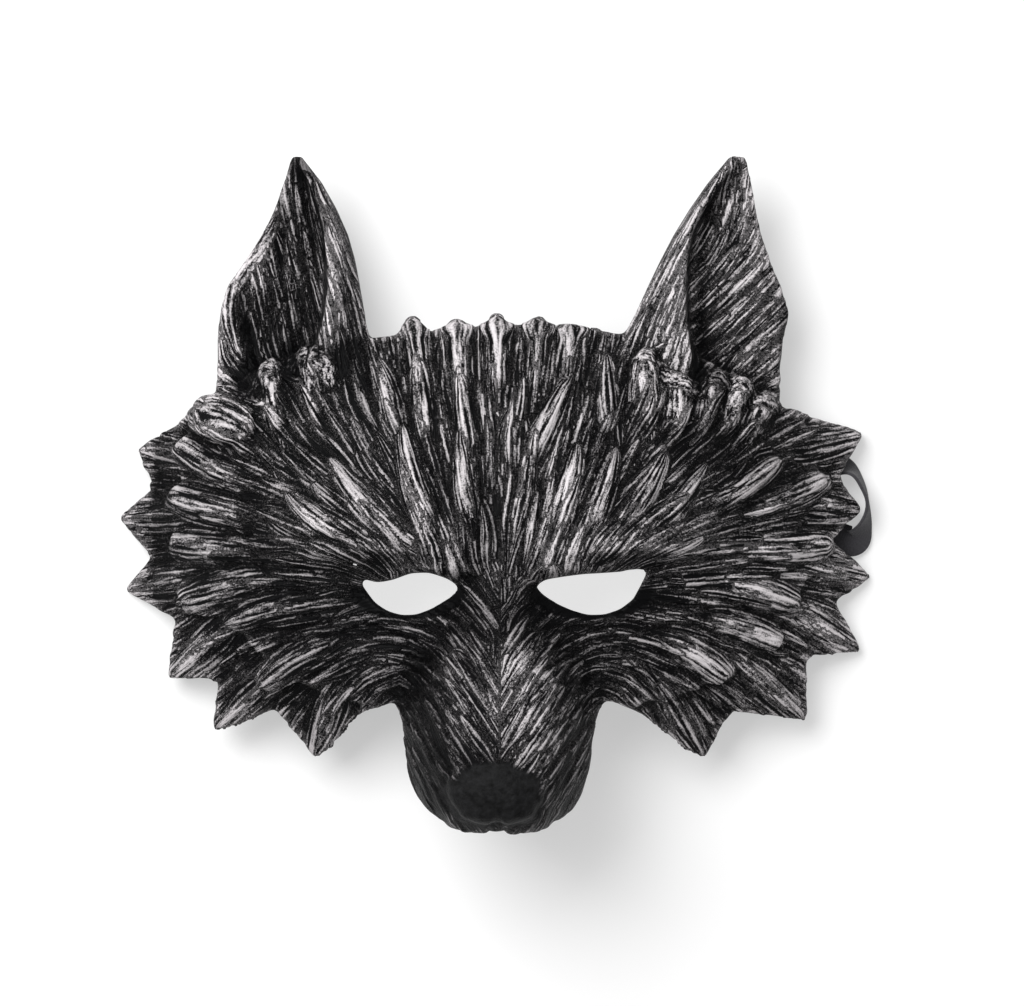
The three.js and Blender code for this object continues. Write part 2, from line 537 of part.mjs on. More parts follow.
function earSolid(rows) {
  const base = rows[0].y;
  const tip = rows[rows.length - 1].y;
  const mirrored = rows[0].outer > rows[0].inner;
  const front = [];
  const back = [];
  for (let row = 0; row <= EAR_GRID.rows; row++) {
    const y = lerp(base, tip, row / EAR_GRID.rows);
    const line = [];
    for (let column = 0; column <= EAR_GRID.columns; column++) {
      const across = column / EAR_GRID.columns;
      line.push(earPoint(rows, mirrored ? 1 - across : across, y));
    }
    front.push(line);
    back.push(line.map((point, k) => {
      const fromEdge = mirrored ? line.length - 1 - k : k;
      const before = line[Math.max(k - 1, 0)];
      const after = line[Math.min(k + 1, line.length - 1)];
      const slope = (after.z - before.z) / (after.x - before.x);
      const share = fromEdge < EAR_EDGE.columns ? EAR_EDGE.share : Math.min(Math.hypot(1, slope), 2.4);
      return new THREE.Vector3(point.x, y, point.z - WALL * share);
    }));
  }
  return sheetSolid(front, back).subtract(hollow.intersect(rimPrism()));
}

// The path of a lock over the face, with the direction across it at each step.
function lockPath(lock) {
  const root = new THREE.Vector2(lock.rootX, lock.rootY);
  const tip = new THREE.Vector2(lock.tipX, lock.tipY);
  const left = new THREE.Vector2(root.y - tip.y, tip.x - root.x).normalize();
  const middle = root.clone().lerp(tip, 0.5).addScaledVector(left, 2 * (lock.bow ?? 0));
  const curve = new THREE.QuadraticBezierCurve(root, middle, tip);
  return Array.from({ length: LOCK_STEPS + 1 }, (_, k) => {
    const t = k / LOCK_STEPS;
    const along = curve.getTangent(t);
    return { t, point: curve.getPoint(t), across: new THREE.Vector2(along.y, -along.x) };
  });
}

// Cross-section of a lock: a keel in the wall, two edges and the crest.
function lockRing(step, half, keel, edgeHeight, crest) {
  const place = (share, z) => new THREE.Vector3(
    step.point.x + step.across.x * half * share,
    step.point.y + step.across.y * half * share,
    z,
  );
  const left = place(-1, 0);
  const right = place(1, 0);
  return [
    place(0, keel),
    left.setZ(edgeHeight(left)),
    place(0, crest),
    right.setZ(edgeHeight(right)),
  ];
}

// A lock that lies on the face like a flame, rising from its root to a raised point.
function lockSolid(lock) {
  const sunk = 1.2;
  return ringSolid(lockPath(lock).map((step) => {
    const end = lock.blunt ? 0.67 : lock.round ? 0.75 : 0.8;
    const swell = Math.sin(Math.PI * (0.18 + end * step.t ** 0.8));
    const lift = smoothstep(step.t, 0, 0.5) * (1 - 0.45 * smoothstep(step.t, 0.6, 1));
    const ground = faceHeight(step.point.x, step.point.y);
    const edge = (place) => faceHeight(place.x, place.y) - sunk;
    const crest = ground + lerp(-sunk, lock.rise, lift);
    return lockRing(step, (lock.width / 2) * swell, ground - WALL * 0.7, edge, crest);
  }));
}

// A ridge on the lower tier that runs out to a point at the rim.
function spikeSolid(spike) {
  return ringSolid(lockPath(spike).map((step) => {
    const taper = SPIKE.blunt + (1 - SPIKE.blunt) * (1 - step.t ** 2.5) ** 0.9;
    const ground = tierHeight(step.point.x, step.point.y);
    const edge = (place) => tierHeight(place.x, place.y) - 0.8;
    const foot = ground < SPIKE.rests ? -1 : ground;
    const keel = Math.min(ground - SPIKE.keel * (0.4 + 0.6 * taper), foot);
    return lockRing(step, (spike.width / 2) * taper, keel, edge, ground + SPIKE.rise * taper);
  }));
}

function noseSolid() {
  const geometry = new THREE.SphereGeometry(1, 16, 10);
  geometry.scale(NOSE.halfWidth, NOSE.halfHeight, NOSE.halfDepth);
  return toSolid(geometry.translate(NOSE.x, NOSE.y, NOSE.z)).subtract(hollow);
}

// An upright round bar between two heights.
function barSolid(radius, low, high, x) {
  const geometry = new THREE.CylinderGeometry(radius, radius, high - low, RIVET.sides);
  geometry.rotateX(Math.PI / 2);
  return toSolid(geometry.translate(x, ANCHOR.y, (low + high) / 2));
}

const rivetHole = (x) => barSolid(RIVET.stemRadius + GAP, 0, ANCHOR.bossFoot + RIVET.stemInBoss + GAP, x);
const anchors = [-ANCHOR.x, ANCHOR.x];

// The whole moulding, with its underside trimmed flat where it rests.
function maskSolid() {
  const raised = [
    earSolid(LEFT_EAR),
    earSolid(RIGHT_EAR),
    noseSolid(),
    ...FUR_LOCKS.map(lockSolid),
    ...RIM_SPIKES.map(spikeSolid),
    ...anchors.map((x) => barSolid(ANCHOR.bossRadius, ANCHOR.bossFoot, ANCHOR.bossTop, x)),
  ];
  const whole = raised.reduce((joined, solid) => joined.add(solid), faceSolid());
  const above = toSolid(new THREE.BoxGeometry(400, 400, TALLEST).translate(0, 0, TALLEST / 2));
  return anchors.reduce((cut, x) => cut.subtract(rivetHole(x)), whole.intersect(above));
}

// The band, a flat strip swept along its route and pierced at both ends.
function strapSolid() {
  const curve = new THREE.CatmullRomCurve3(STRAP_ROUTE.map(({ x, y, z }) => new THREE.Vector3(x, y, z)));
  const leans = new THREE.CatmullRomCurve3(STRAP_ROUTE.map(({ lean }, k) => new THREE.Vector3(lean, k, 0)));
  const rings = Array.from({ length: STRAP_STEPS + 1 }, (_, k) => {
    const t = k / STRAP_STEPS;
    const middle = curve.getPoint(t);
    const ahead = curve.getTangent(t);
    const flat = new THREE.Vector3(-ahead.y, ahead.x, 0).normalize();
    const up = new THREE.Vector3().crossVectors(ahead, flat);
    const lean = THREE.MathUtils.degToRad(leans.getPoint(t).x);
    const wide = flat.clone().multiplyScalar(Math.cos(lean)).addScaledVector(up, Math.sin(lean));
    const thick = new THREE.Vector3().crossVectors(ahead, wide);
    const corner = (a, b) => middle.clone()
      .addScaledVector(wide, (a * STRAP_WIDTH) / 2)
      .addScaledVector(thick, (b * STRAP_THICKNESS) / 2);
    return [corner(-1, -1), corner(1, -1), corner(1, 1), corner(-1, 1)];
  });
  return anchors.reduce((cut, x) => cut.subtract(rivetHole(x)), ringSolid(rings));
}

// A rivet: a flat head under the band and a stem up into the boss.
function rivetGeometry() {
  const headTop = STRAP_Z - STRAP_THICKNESS / 2 - GAP;
  const headFoot = headTop - RIVET.headHeight;
  const stemTop = ANCHOR.bossFoot + RIVET.stemInBoss;
  const profile = [
    [0, headFoot], [RIVET.headRadius, headFoot], [RIVET.headRadius, headTop],
    [RIVET.stemRadius, headTop], [RIVET.stemRadius, stemTop], [0, stemTop],
  ].map(([radius, z]) => new THREE.Vector2(radius, z));
  return new THREE.LatheGeometry(profile, RIVET.sides).rotateX(Math.PI / 2);
}

function named(name, geometry, material) {
  const mesh = new THREE.Mesh(geometry, material);
  mesh.name = name;
  return mesh;
}

const mask = new THREE.Group();
mask.add(named('mask_shell', toGeometry(maskSolid()), FOAM));
mask.add(named('elastic_strap', toGeometry(strapSolid()), ELASTIC));
anchors.forEach((x) => {
  const rivet = named(x < 0 ? 'strap_rivet_left' : 'strap_rivet_right', rivetGeometry(), RIVET_BLACK);
  rivet.position.set(x, ANCHOR.y, 0);
  mask.add(rivet);
});

// The origin goes to the middle of the object's underside.
const extent = new THREE.Box3().setFromObject(mask);
const middle = extent.getCenter(new THREE.Vector3());
mask.position.set(-middle.x, -middle.y, -extent.min.z);

export default mask;
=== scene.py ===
import math
import random

import bpy
import numpy as np
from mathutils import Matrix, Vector
from mathutils.kdtree import KDTree


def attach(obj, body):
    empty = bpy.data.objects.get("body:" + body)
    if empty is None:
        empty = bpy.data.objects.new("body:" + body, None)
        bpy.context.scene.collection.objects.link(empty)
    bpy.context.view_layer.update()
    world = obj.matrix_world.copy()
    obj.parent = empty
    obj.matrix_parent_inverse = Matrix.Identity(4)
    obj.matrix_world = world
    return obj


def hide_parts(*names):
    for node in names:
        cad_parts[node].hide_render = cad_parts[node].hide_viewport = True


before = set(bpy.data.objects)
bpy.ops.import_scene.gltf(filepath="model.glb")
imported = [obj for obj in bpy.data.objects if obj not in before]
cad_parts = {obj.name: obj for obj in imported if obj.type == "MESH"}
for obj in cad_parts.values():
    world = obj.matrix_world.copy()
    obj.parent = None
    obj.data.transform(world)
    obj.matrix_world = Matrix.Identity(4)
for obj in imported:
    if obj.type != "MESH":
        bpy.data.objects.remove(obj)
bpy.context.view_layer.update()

# Moulded shell
# One hollow moulding of soft polyurethane foam, cast black in a sculpted mould and trimmed at the rim
# and the eyes. The sculptor cut the fur as overlapping locks, each scored along with a fine tool.
MM = 0.001
MIDLINE = 1.0 * MM  # x of the face's midline in the frame
EYE_LINE = -34.75 * MM  # y of the line through the eyes
SHELL_VOXEL = 1.0 * MM  # fine enough for a lock's edges
SHELL_SMOOTHING = 10  # rounds that take the facets off the solid
SMOOTHING_STEP = 0.5  # how far one round moves a point towards its neighbours
SWELLING_STEP = -0.52  # and how far it moves back where the size is kept
WELD_GAP = 0.001 * MM
INSIDE_KEPT = 0.08  # share of the plain inside's faces that is kept


def finish_with(piece, kind, **settings):
    """Gives a piece a modifier with these settings and applies it."""
    modifier = piece.modifiers.new(kind.lower(), kind)
    for name, value in settings.items():
        setattr(modifier, name, value)
    bpy.ops.object.select_all(action="DESELECT")
    piece.select_set(True)
    bpy.context.view_layer.objects.active = piece
    bpy.ops.object.modifier_apply(modifier=modifier.name)


def copy_of_node(cad_node, name):
    """A new piece with the merged mesh of a CAD node."""
    piece = bpy.data.objects.new(name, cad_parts[cad_node].data.copy())
    bpy.context.scene.collection.objects.link(piece)
    finish_with(piece, "WELD", merge_threshold=WELD_GAP)
    return piece


def points_of(mesh):
    """Places of a mesh's vertices."""
    places = np.empty(len(mesh.vertices) * 3, np.float32)
    mesh.vertices.foreach_get("co", places)
    return places.reshape(-1, 3).astype(float)


def normals_of(mesh):
    """Outward directions at a mesh's vertices."""
    directions = np.empty(len(mesh.vertices) * 3, np.float32)
    mesh.vertex_normals.foreach_get("vector", directions)
    return directions.reshape(-1, 3).astype(float)


def on_face(places):
    """Places in the frame as millimetres right of the midline and above the eye line."""
    return (places[..., 0] - MIDLINE) / MM, (places[..., 1] - EYE_LINE) / MM


def ramp(values, low, high):
    """0 below low, 1 above high, and a smooth rise between them."""
    share = np.clip((np.asarray(values, float) - low) / (high - low), 0, 1)
    return share * share * (3 - 2 * share)


shell = copy_of_node("mask_shell", "moulded_shell")
finish_with(shell, "REMESH", mode="VOXEL", voxel_size=SHELL_VOXEL, adaptivity=0)
finish_with(shell, "SMOOTH", factor=SMOOTHING_STEP, iterations=SHELL_SMOOTHING)

# A point faces out if it faces away from the heart of the face, or from an ear's own axis.
EAR_AXIS = 75 * MM  # middle of an ear, out from the midline
EAR_BASE = (82, 92)  # heights over which the face gives way to the ears
EAR_INNER = 38  # no ear comes nearer to the midline
HEART_FOOT = -50  # lowest and highest middle of the face, and how much higher the ears' goes
HEART_TOP = 60
EAR_HEART_RISE = 100


def facing_out(mesh):
    """How far each vertex faces away from the wearer, from -1 inside to 1 on the face."""
    places = points_of(mesh)
    normals = normals_of(mesh)
    x, y = on_face(places)
    ear = ramp(y, *EAR_BASE) * (np.abs(x) > EAR_INNER)
    heart = places.copy()
    heart[:, 0] = MIDLINE + np.sign(x) * EAR_AXIS * ear
    heart_top = EYE_LINE + (HEART_TOP + EAR_HEART_RISE * ear) * MM
    heart[:, 1] = np.clip(places[:, 1], EYE_LINE + HEART_FOOT * MM, heart_top)
    heart[:, 2] = 0
    away = places - heart
    away /= np.linalg.norm(away, axis=1, keepdims=True)
    return np.maximum((away * normals).sum(1), normals[:, 2])


# The ears' backs and edges are round and soft: each round smooths them and swells them back to size.
EAR_SMOOTHING = 14
EAR_FEET = 72  # height from which the ears are counted
EAR_EDGE_FACING = 0.2  # their edges and backs face out less than this
ears = shell.vertex_groups.new(name="ears")
on_ear = on_face(points_of(shell.data))[1] > EAR_FEET
turned = facing_out(shell.data) < EAR_EDGE_FACING
ears.add(np.flatnonzero(on_ear & turned).tolist(), 1.0, "REPLACE")
for _ in range(EAR_SMOOTHING):
    finish_with(shell, "SMOOTH", factor=SMOOTHING_STEP, iterations=1, vertex_group="ears")
    finish_with(shell, "SMOOTH", factor=SWELLING_STEP, iterations=1, vertex_group="ears")

# What lies under the ears is smoothed once more.
UNDERSIDE_SMOOTHING = 30
UNDERSIDE_FEET = 76
UNDERSIDE_FACING = -0.05  # their normals point down by at least this
under_ears = shell.vertex_groups.new(name="under_ears")
on_ear = on_face(points_of(shell.data))[1] > UNDERSIDE_FEET
turned = normals_of(shell.data)[:, 2] < UNDERSIDE_FACING
under_ears.add(np.flatnonzero(on_ear & turned).tolist(), 1.0, "REPLACE")
finish_with(
    shell, "SMOOTH", factor=SMOOTHING_STEP, iterations=UNDERSIDE_SMOOTHING, vertex_group="under_ears",
)

# The inside is smooth and never scored, so it needs few faces, but the ears' edges keep theirs.
FACE_INSIDE = -0.25  # how far a point of the face's inside faces out, at most
EAR_INSIDE = -0.75
outward = facing_out(shell.data)
inside = shell.vertex_groups.new(name="inside")
on_ear = on_face(points_of(shell.data))[1] > EAR_FEET
hidden = np.flatnonzero(outward < np.where(on_ear, EAR_INSIDE, FACE_INSIDE))
inside.add(hidden.tolist(), 1.0, "REPLACE")
kept = 1 - (1 - INSIDE_KEPT) * len(hidden) / len(outward)
finish_with(shell, "DECIMATE", ratio=kept, vertex_group="inside")
shell.vertex_groups.clear()

# Which way the fur runs on half the face: place out from the midline and above the eye line, then heading.
FUR_FLOW = (
    # out, above, heading out, heading up
    (0, 14, 0.0, 1.0), (0, 40, 0.0, 1.0), (0, 75, 0.0, 1.0), (0, 95, 0.0, 1.0),
    (10, 30, 0.15, 1.0), (12, 60, 0.15, 1.0), (25, 25, 0.4, 1.0), (25, 50, 0.3, 1.0),
    (30, 75, 0.15, 1.0), (40, 28, 0.7, 0.85), (45, 50, 0.5, 0.9), (48, 72, 0.3, 1.0),
    (20, 9, 0.35, 1.0), (35, 11, 0.7, 0.8), (50, 14, 0.95, 0.5),
    (57, 28, 0.95, 0.55), (62, 45, 0.8, 0.7), (66, 62, 0.5, 0.9), (80, 55, 0.7, 0.8), (92, 58, 0.9, 0.5),
    (72, 30, 1.0, 0.42), (88, 32, 1.0, 0.3), (104, 40, 1.0, 0.25), (118, 30, 1.0, 0.0),
    (62, 8, 1.0, 0.12), (78, 10, 1.0, 0.1), (95, 10, 1.0, 0.0), (112, 8, 1.0, -0.15),
    (60, -8, 1.0, -0.15), (76, -8, 1.0, -0.2), (92, -8, 1.0, -0.35), (108, -14, 1.0, -0.6),
    (45, -14, 1.0, -0.2), (56, -24, 1.0, -0.5), (70, -24, 1.0, -0.55), (86, -30, 1.0, -0.8),
    (60, -42, 0.5, -1.0), (48, -32, 0.8, -0.8), (42, -36, 0.7, -0.8), (44, -24, 1.0, -0.4),
    (30, -11, 1.0, 0.2), (35, -19.5, 1.0, 0.1), (36, -30, 0.9, -0.3), (26.5, -22, 0.85, 0.5),
    (6, -4, 0.6, 0.8), (14, -8, 0.7, 0.7), (6, -18, 0.55, 0.85), (14, -20, 0.65, 0.75),
    (6, -32, 0.5, 0.85), (18, -30, 0.65, 0.75), (28, -34, 0.6, 0.8), (8, -46, 0.55, 0.85),
    (19, -44, 0.55, 0.83), (29, -46, 0.5, 0.86), (9, -57, 0.6, 0.8), (21, -57, 0.55, 0.83),
    (30, -60, 0.5, 0.86), (25, -71, 0.55, 0.83), (10, -79, 0.6, 0.8),
)
FLOW_REACH = 11.0  # millimetres over which one heading gives way to the next
FLOW_SOFTNESS = 0.05  # keeps a single heading from ruling its own place
EAR_TIPS = {-1: (-71.5, 160.0), 1: (84.0, 160.0)}
EAR_FOOT = (70.0, 84.0)  # heights over which the face's fur turns into the ear's
EAR_SIDE = (38, 46)  # and distances from the midline
CUP_START = (1, 4)  # distances from the fold over which the cup's own heading takes over
EAR_FOLDS = {
    # height, and where the fold stands there: the cup lies outside it
    -1: ((82, 96, 115, 126, 137, 149), (-64, -59, -59, -60, -63, -70)),
    1: ((82, 96, 115, 126, 137, 149), (64, 62.5, 63.5, 66, 73, 82)),
}
CUP_HEADINGS = {
    # height, heading out and up
    -1: ((85, 110, 130, 148), (-0.2, -0.25, -0.2, 0.0), (0.98, 0.97, 0.98, 1.0)),
    1: ((85, 110, 128, 148), (0.76, 0.66, 0.35, -0.1), (0.65, 0.75, 0.94, 1.0)),
}
flow_table = np.array(FUR_FLOW)


def fur_heading(place):
    """Which way the fur runs at a place, seen from the front."""
    x, y = on_face(place)
    side = -1 if x < 0 else 1
    far = ((flow_table[:, 0] - abs(x)) ** 2 + (flow_table[:, 1] - y) ** 2) / FLOW_REACH**2
    weight = 1 / (FLOW_SOFTNESS + far) ** 2
    heading = weight @ flow_table[:, 2:] / weight.sum()
    heading = np.array((side * heading[0], heading[1]))
    heading /= np.linalg.norm(heading)
    tip = np.array(EAR_TIPS[side])
    to_tip = tip - (x, y)
    to_tip /= np.linalg.norm(to_tip)
    cup = ramp(abs(x) - abs(np.interp(y, *EAR_FOLDS[side])), *CUP_START)
    heights, out, up = CUP_HEADINGS[side]
    in_cup = np.array((np.interp(y, heights, out), np.interp(y, heights, up)))
    on_ear = (1 - cup) * to_tip + cup * in_cup
    ear = ramp(y, *EAR_FOOT) * ramp(abs(x), *EAR_SIDE)
    return (1 - ear) * heading + ear * on_ear


# Locks of fur: each starts at a root, follows the flow over the surface and narrows to a round point. A
# coat of wide flat ones lies under the raised ones, so that the scoring follows the flow everywhere.
LOCK_STEPS = 8
COATS = (
    {
        "spacing": 13 * MM, "length": (30 * MM, 44 * MM),
        "width": (17 * MM, 22 * MM), "rise": (0.05 * MM, 0.2 * MM),
    },
    {
        "spacing": 6.5 * MM, "length": (22 * MM, 38 * MM),
        "width": (2.8 * MM, 5 * MM), "rise": (0.4 * MM, 1.0 * MM),
    },
)
# taper: share of a lock's length from which it narrows. swell: shares over which it rises. worn: paint at
# its tip. broken: how much shorter than a plain lock's its streaks are. blended: how far its seam is
# filled.
COAT_SHAPE = {"taper": 0.3, "swell": (0.0, 0.7), "worn": 0.3, "broken": 1.0, "blended": 0.0}
POINTED_SHAPE = {"taper": 0.3, "swell": (0.0, 0.7), "worn": 1.0, "broken": 1.0, "blended": 0.0}
BLUNT_SHAPE = {"taper": 0.72, "swell": (0.15, 0.87), "worn": 1.0, "broken": 1.0, "blended": 0.0}
TUFT_SHAPE = {"taper": 0.8, "swell": (0.25, 0.95), "worn": 0.4, "broken": 3.0, "blended": 0.3}
EDGE_SHAPE = {"taper": 0.9, "swell": (-0.2, 0.1), "worn": 0.0, "broken": 9.0, "blended": 1.0}
STEEPEST = 0.3  # a strand on a steeper side runs along it
SHORTEST_HEADING = 0.05  # a lock ends where the flow is weaker
PARTING = 12.0  # below this height no lock crosses the midline
ROOTED_FACING = 0.1  # locks lie only where the surface faces out by at least this
PATTERN_SPAN = 900  # range of numbers that give each lock scoring of its own
ROOT_WIDTH = 0.6  # share of a lock's width at its root
ROOT_WIDENS = (0, 0.4)  # shares of its length over which it widens
ROOT_RISE = 0.05  # share of its rise at its root
TIP_ROUNDS = 0.85  # share of its length from which its end rounds off
NARROWEST_END = 0.999  # its end keeps a little width and height
LOWEST_END = 0.99
FEWEST_POINTS = 3  # a shorter lock is left out
chance = random.Random(11)

places = points_of(shell.data)
normals = normals_of(shell.data)
outer = np.flatnonzero(facing_out(shell.data) > ROOTED_FACING)
near_outside = KDTree(len(outer))
for index in outer:
    near_outside.insert(places[index], int(index))
near_outside.balance()


def spread_roots(spacing):
    """Vertices of the outside, none nearer to another than the spacing."""
    order = outer.tolist()
    chance.shuffle(order)
    taken = {}
    roots = []
    for index in order:
        cell = tuple(int(c) for c in np.floor(places[index] / spacing))
        around = (
            other
            for dx in (-1, 0, 1) for dy in (-1, 0, 1) for dz in (-1, 0, 1)
            for other in taken.get((cell[0] + dx, cell[1] + dy, cell[2] + dz), ())
        )
        if all(np.linalg.norm(places[index] - places[other]) >= spacing for other in around):
            taken.setdefault(cell, []).append(index)
            roots.append(index)
    return roots


def lock_path(root, length):
    """Points, and the surface's directions at them, along a lock from its root."""
    step = length / (LOCK_STEPS - 1)
    path = [places[root]]
    facing = [normals[root]]
    while len(path) < LOCK_STEPS:
        heading = np.array((*fur_heading(path[-1]), 0.0))
        heading[2] = -(heading @ facing[-1]) / max(facing[-1][2], STEEPEST)
        heading -= facing[-1] * (heading @ facing[-1])
        size = np.linalg.norm(heading)
        if size < SHORTEST_HEADING:
            break
        ahead = path[-1] + heading / size * step
        _, index, gap = near_outside.find(ahead)
        if gap > step:
            break
        path.append(ahead - normals[index] * ((ahead - places[index]) @ normals[index]))
        facing.append(normals[index])
    return np.array(path), np.array(facing)


fur_height = np.zeros(len(places))
strand = np.zeros((len(places), 3))
strand[:, :2] = places[:, :2] / MM
border = np.ones(len(places))
tip = np.zeros(len(places))


def lay_lock(path, facing, half_width, rise, own, taper, swell, worn, broken, blended):
    """Raises one lock over the surface where it stands higher than those already there."""
    legs = path[1:] - path[:-1]
    leg_lengths = np.linalg.norm(legs, axis=1)
    reach = half_width + leg_lengths.max() / 2
    found = {index for point in path for _, index, _ in near_outside.find_range(point, reach)}
    around = np.array(sorted(found))
    x, y = on_face(places[around])
    own_side = on_face(path)[0].mean()
    around = around[(y > PARTING) | (x * own_side >= 0)]
    if len(around) == 0:
        return
    offset = places[around][:, None] - path[None, :-1]
    share = np.clip((offset * legs).sum(2) / leg_lengths**2, 0, 1)
    offset -= share[..., None] * legs
    nearest = np.linalg.norm(offset, axis=2).argmin(1)
    each = np.arange(len(around))
    along = (nearest + share[each, nearest]) / len(legs)
    onward = (legs / leg_lengths[:, None])[nearest]
    away = offset[each, nearest]
    away -= (away * onward).sum(1, keepdims=True) * onward
    left = np.cross(facing[:-1][nearest], onward)
    sideways = np.copysign(np.linalg.norm(away, axis=1), (away * left).sum(1))
    point = np.clip((along - taper) / (1 - taper), 0, NARROWEST_END)
    width = (ROOT_WIDTH + (1 - ROOT_WIDTH) * ramp(along, *ROOT_WIDENS)) * np.sqrt(1 - point**2)
    edge = np.abs(sideways) / (half_width * width)
    ending = np.clip((along - TIP_ROUNDS) / (1 - TIP_ROUNDS), 0, LOWEST_END)
    rounded = np.sqrt(1 - ending**2)
    swelling = ROOT_RISE + (1 - ROOT_RISE) * ramp(along, *swell)
    height = rise * swelling * rounded * np.sqrt(np.clip(1 - edge**2, 0, 1))
    higher = height > fur_height[around]
    won = around[higher]
    fur_height[won] = height[higher]
    strand[won, 0] = (sideways / width)[higher] / MM
    strand[won, 1] = along[higher] * leg_lengths.sum() / MM * broken
    strand[won, 2] = own
    border[won] = (half_width * width * (1 - edge))[higher] / MM + blended
    tip[won] = worn * along[higher] ** 3


for coat in COATS:
    for root in spread_roots(coat["spacing"]):
        path, facing = lock_path(root, chance.uniform(*coat["length"]))
        if len(path) >= FEWEST_POINTS:
            half_width = chance.uniform(*coat["width"]) / 2
            rise = chance.uniform(*coat["rise"])
            lay_lock(path, facing, half_width, rise, chance.uniform(0, PATTERN_SPAN), **COAT_SHAPE)

# The large locks that the sculptor set first, in millimetres. Those of the forehead, brow and rim are
# pointed, those round the cheeks and along the top end bluntly, and thick tufts stand at the ears' feet.
POINTED_LOCKS = (
    # root x, root y, tip x, tip y, bend to the left, width
    (-35, 46, -43, 79, -2, 12), (-24, 44, -28.5, 79, 0, 12), (-9, 38, -13.5, 73, 0, 10),
    (8, 38, 24, 73, 1, 11), (40, 48, 37, 80, 1, 12), (-16, 12, -33, 56, 4, 13), (-5, 14, -13, 54, 3, 10),
    (-29, 16, -57, 44, 3, 13), (-44, 15, -72, 33, 3, 13), (4, 14, 10, 47, -1, 10), (16, 14, 26, 49, -2, 13),
    (27, 16, 39, 47, -2, 11), (37, 17, 56, 46, -2, 12), (50, 20, 70, 42, -2, 12),
    (-98, 43, -126, 49, 0, 17), (-100, 27, -132.5, 25, 0, 18), (-98, 7, -130.5, 0, 0, 18),
    (-89, -8, -115.5, -30.5, 0, 18), (-74, -24, -99.5, -48.5, 0, 17), (-54, -30, -64, -58, 0, 17),
    (94, 48, 126.5, 54.5, 0, 17), (97, 31, 126, 28, 0, 15), (97, 12.5, 129, 4.5, 0, 17),
    (97, -5, 125.5, -21, 0, 18), (80, -21, 106.5, -45, 0, 18), (53, -30, 71, -58, 0, 17),
)
BLUNT_LOCKS = (
    (-24, 62, -30, 95, 1, 12), (-12, 60, -15, 94, 0, 12), (-1, 60, -1, 96, 0, 11),
    (12, 62, 13.5, 95, 0, 10), (20, 64, 25, 92, 0, 12), (-80, 36, -112, 51, 3, 14),
    (-79, 26, -115, 33, 2, 15), (-78, 14, -114.5, 16, 1, 15), (-70, 5, -110.5, -4.5, -2, 17),
    (-60, -4, -93, -11, -2, 13), (-49, -15, -82, -32.5, -3, 14), (66, 25, 96, 44.5, -2, 11),
    (80, 27, 113, 38.5, -2, 14), (81, 14, 116, 16, 0, 14), (70, 2, 103, -5.5, 2, 15),
    (66, -10, 97, -18.5, 2, 13), (49, -15, 78, -30.5, 3, 14),
)
TUFTS = (
    (-80, 50, -104, 62, -2, 19), (-76, 50, -79.5, 76.5, 1, 12), (-62, 54, -66.5, 82, 1, 12),
    (53, 52, 50.5, 81, 0, 11), (60, 50, 62.5, 74, 0, 11), (68, 50, 73, 73.5, 0, 11),
    (76, 50, 82, 71, 0, 11), (84, 48, 92, 66, 0, 11),
)
LARGE_LOCKS = (
    # locks, their shape, their rise, and the millimetres that they reach past the solid's end
    (POINTED_LOCKS, POINTED_SHAPE, 0.75 * MM, 3.0), (BLUNT_LOCKS, BLUNT_SHAPE, 1.0 * MM, 3.0),
    (TUFTS, TUFT_SHAPE, 0.8 * MM, 0.0),
)
ABOVE = 0.2  # metres, over everything


def over_shell(spots):
    """Points, and the surface's directions at them, straight below spots in millimetres on the face."""
    path = []
    facing = []
    for spot in spots:
        above = Vector((spot[0] * MM + MIDLINE, spot[1] * MM + EYE_LINE, ABOVE))
        met, place, normal, _ = shell.ray_cast(above, Vector((0, 0, -1)))
        if met:
            path.append(np.array(place))
            facing.append(np.array(normal))
        elif path:
            path.append(np.array((above.x, above.y, path[-1][2])))
            facing.append(facing[-1])
    return np.array(path), np.array(facing)


for locks, shape, rise, overhang in LARGE_LOCKS:
    for root_x, root_y, tip_x, tip_y, bend, width in locks:
        root = np.array((root_x, root_y), float)
        end = np.array((tip_x, tip_y), float)
        end += overhang * (end - root) / np.linalg.norm(end - root)
        left = np.array((root_y - tip_y, tip_x - root_x)) / np.linalg.norm(end - root)
        bent = (root + end) / 2 + 2 * bend * left
        spots = [
            (1 - share) ** 2 * root + 2 * share * (1 - share) * bent + share**2 * end
            for share in np.linspace(0, 1, LOCK_STEPS)
        ]
        lay_lock(*over_shell(spots), width / 2 * MM, rise, chance.uniform(0, PATTERN_SPAN), **shape)

# A rolled rim runs up the free edge of the left ear, where that edge turns over.
EAR_RIM = (
    (-86, 74), (-91.5, 84), (-94, 92), (-94.5, 99), (-93, 106), (-89, 112), (-84, 118), (-80, 125),
    (-77.5, 131),
)
RIM_SHAPE = {"taper": 0.5, "swell": (-0.2, 0.1), "worn": 0.0, "broken": 1.4, "blended": 0.4}
RIM_WIDTH = 7.0 * MM
RIM_RISE = 1.5 * MM
lay_lock(*over_shell(EAR_RIM), RIM_WIDTH / 2, RIM_RISE, chance.uniform(0, PATTERN_SPAN), **RIM_SHAPE)

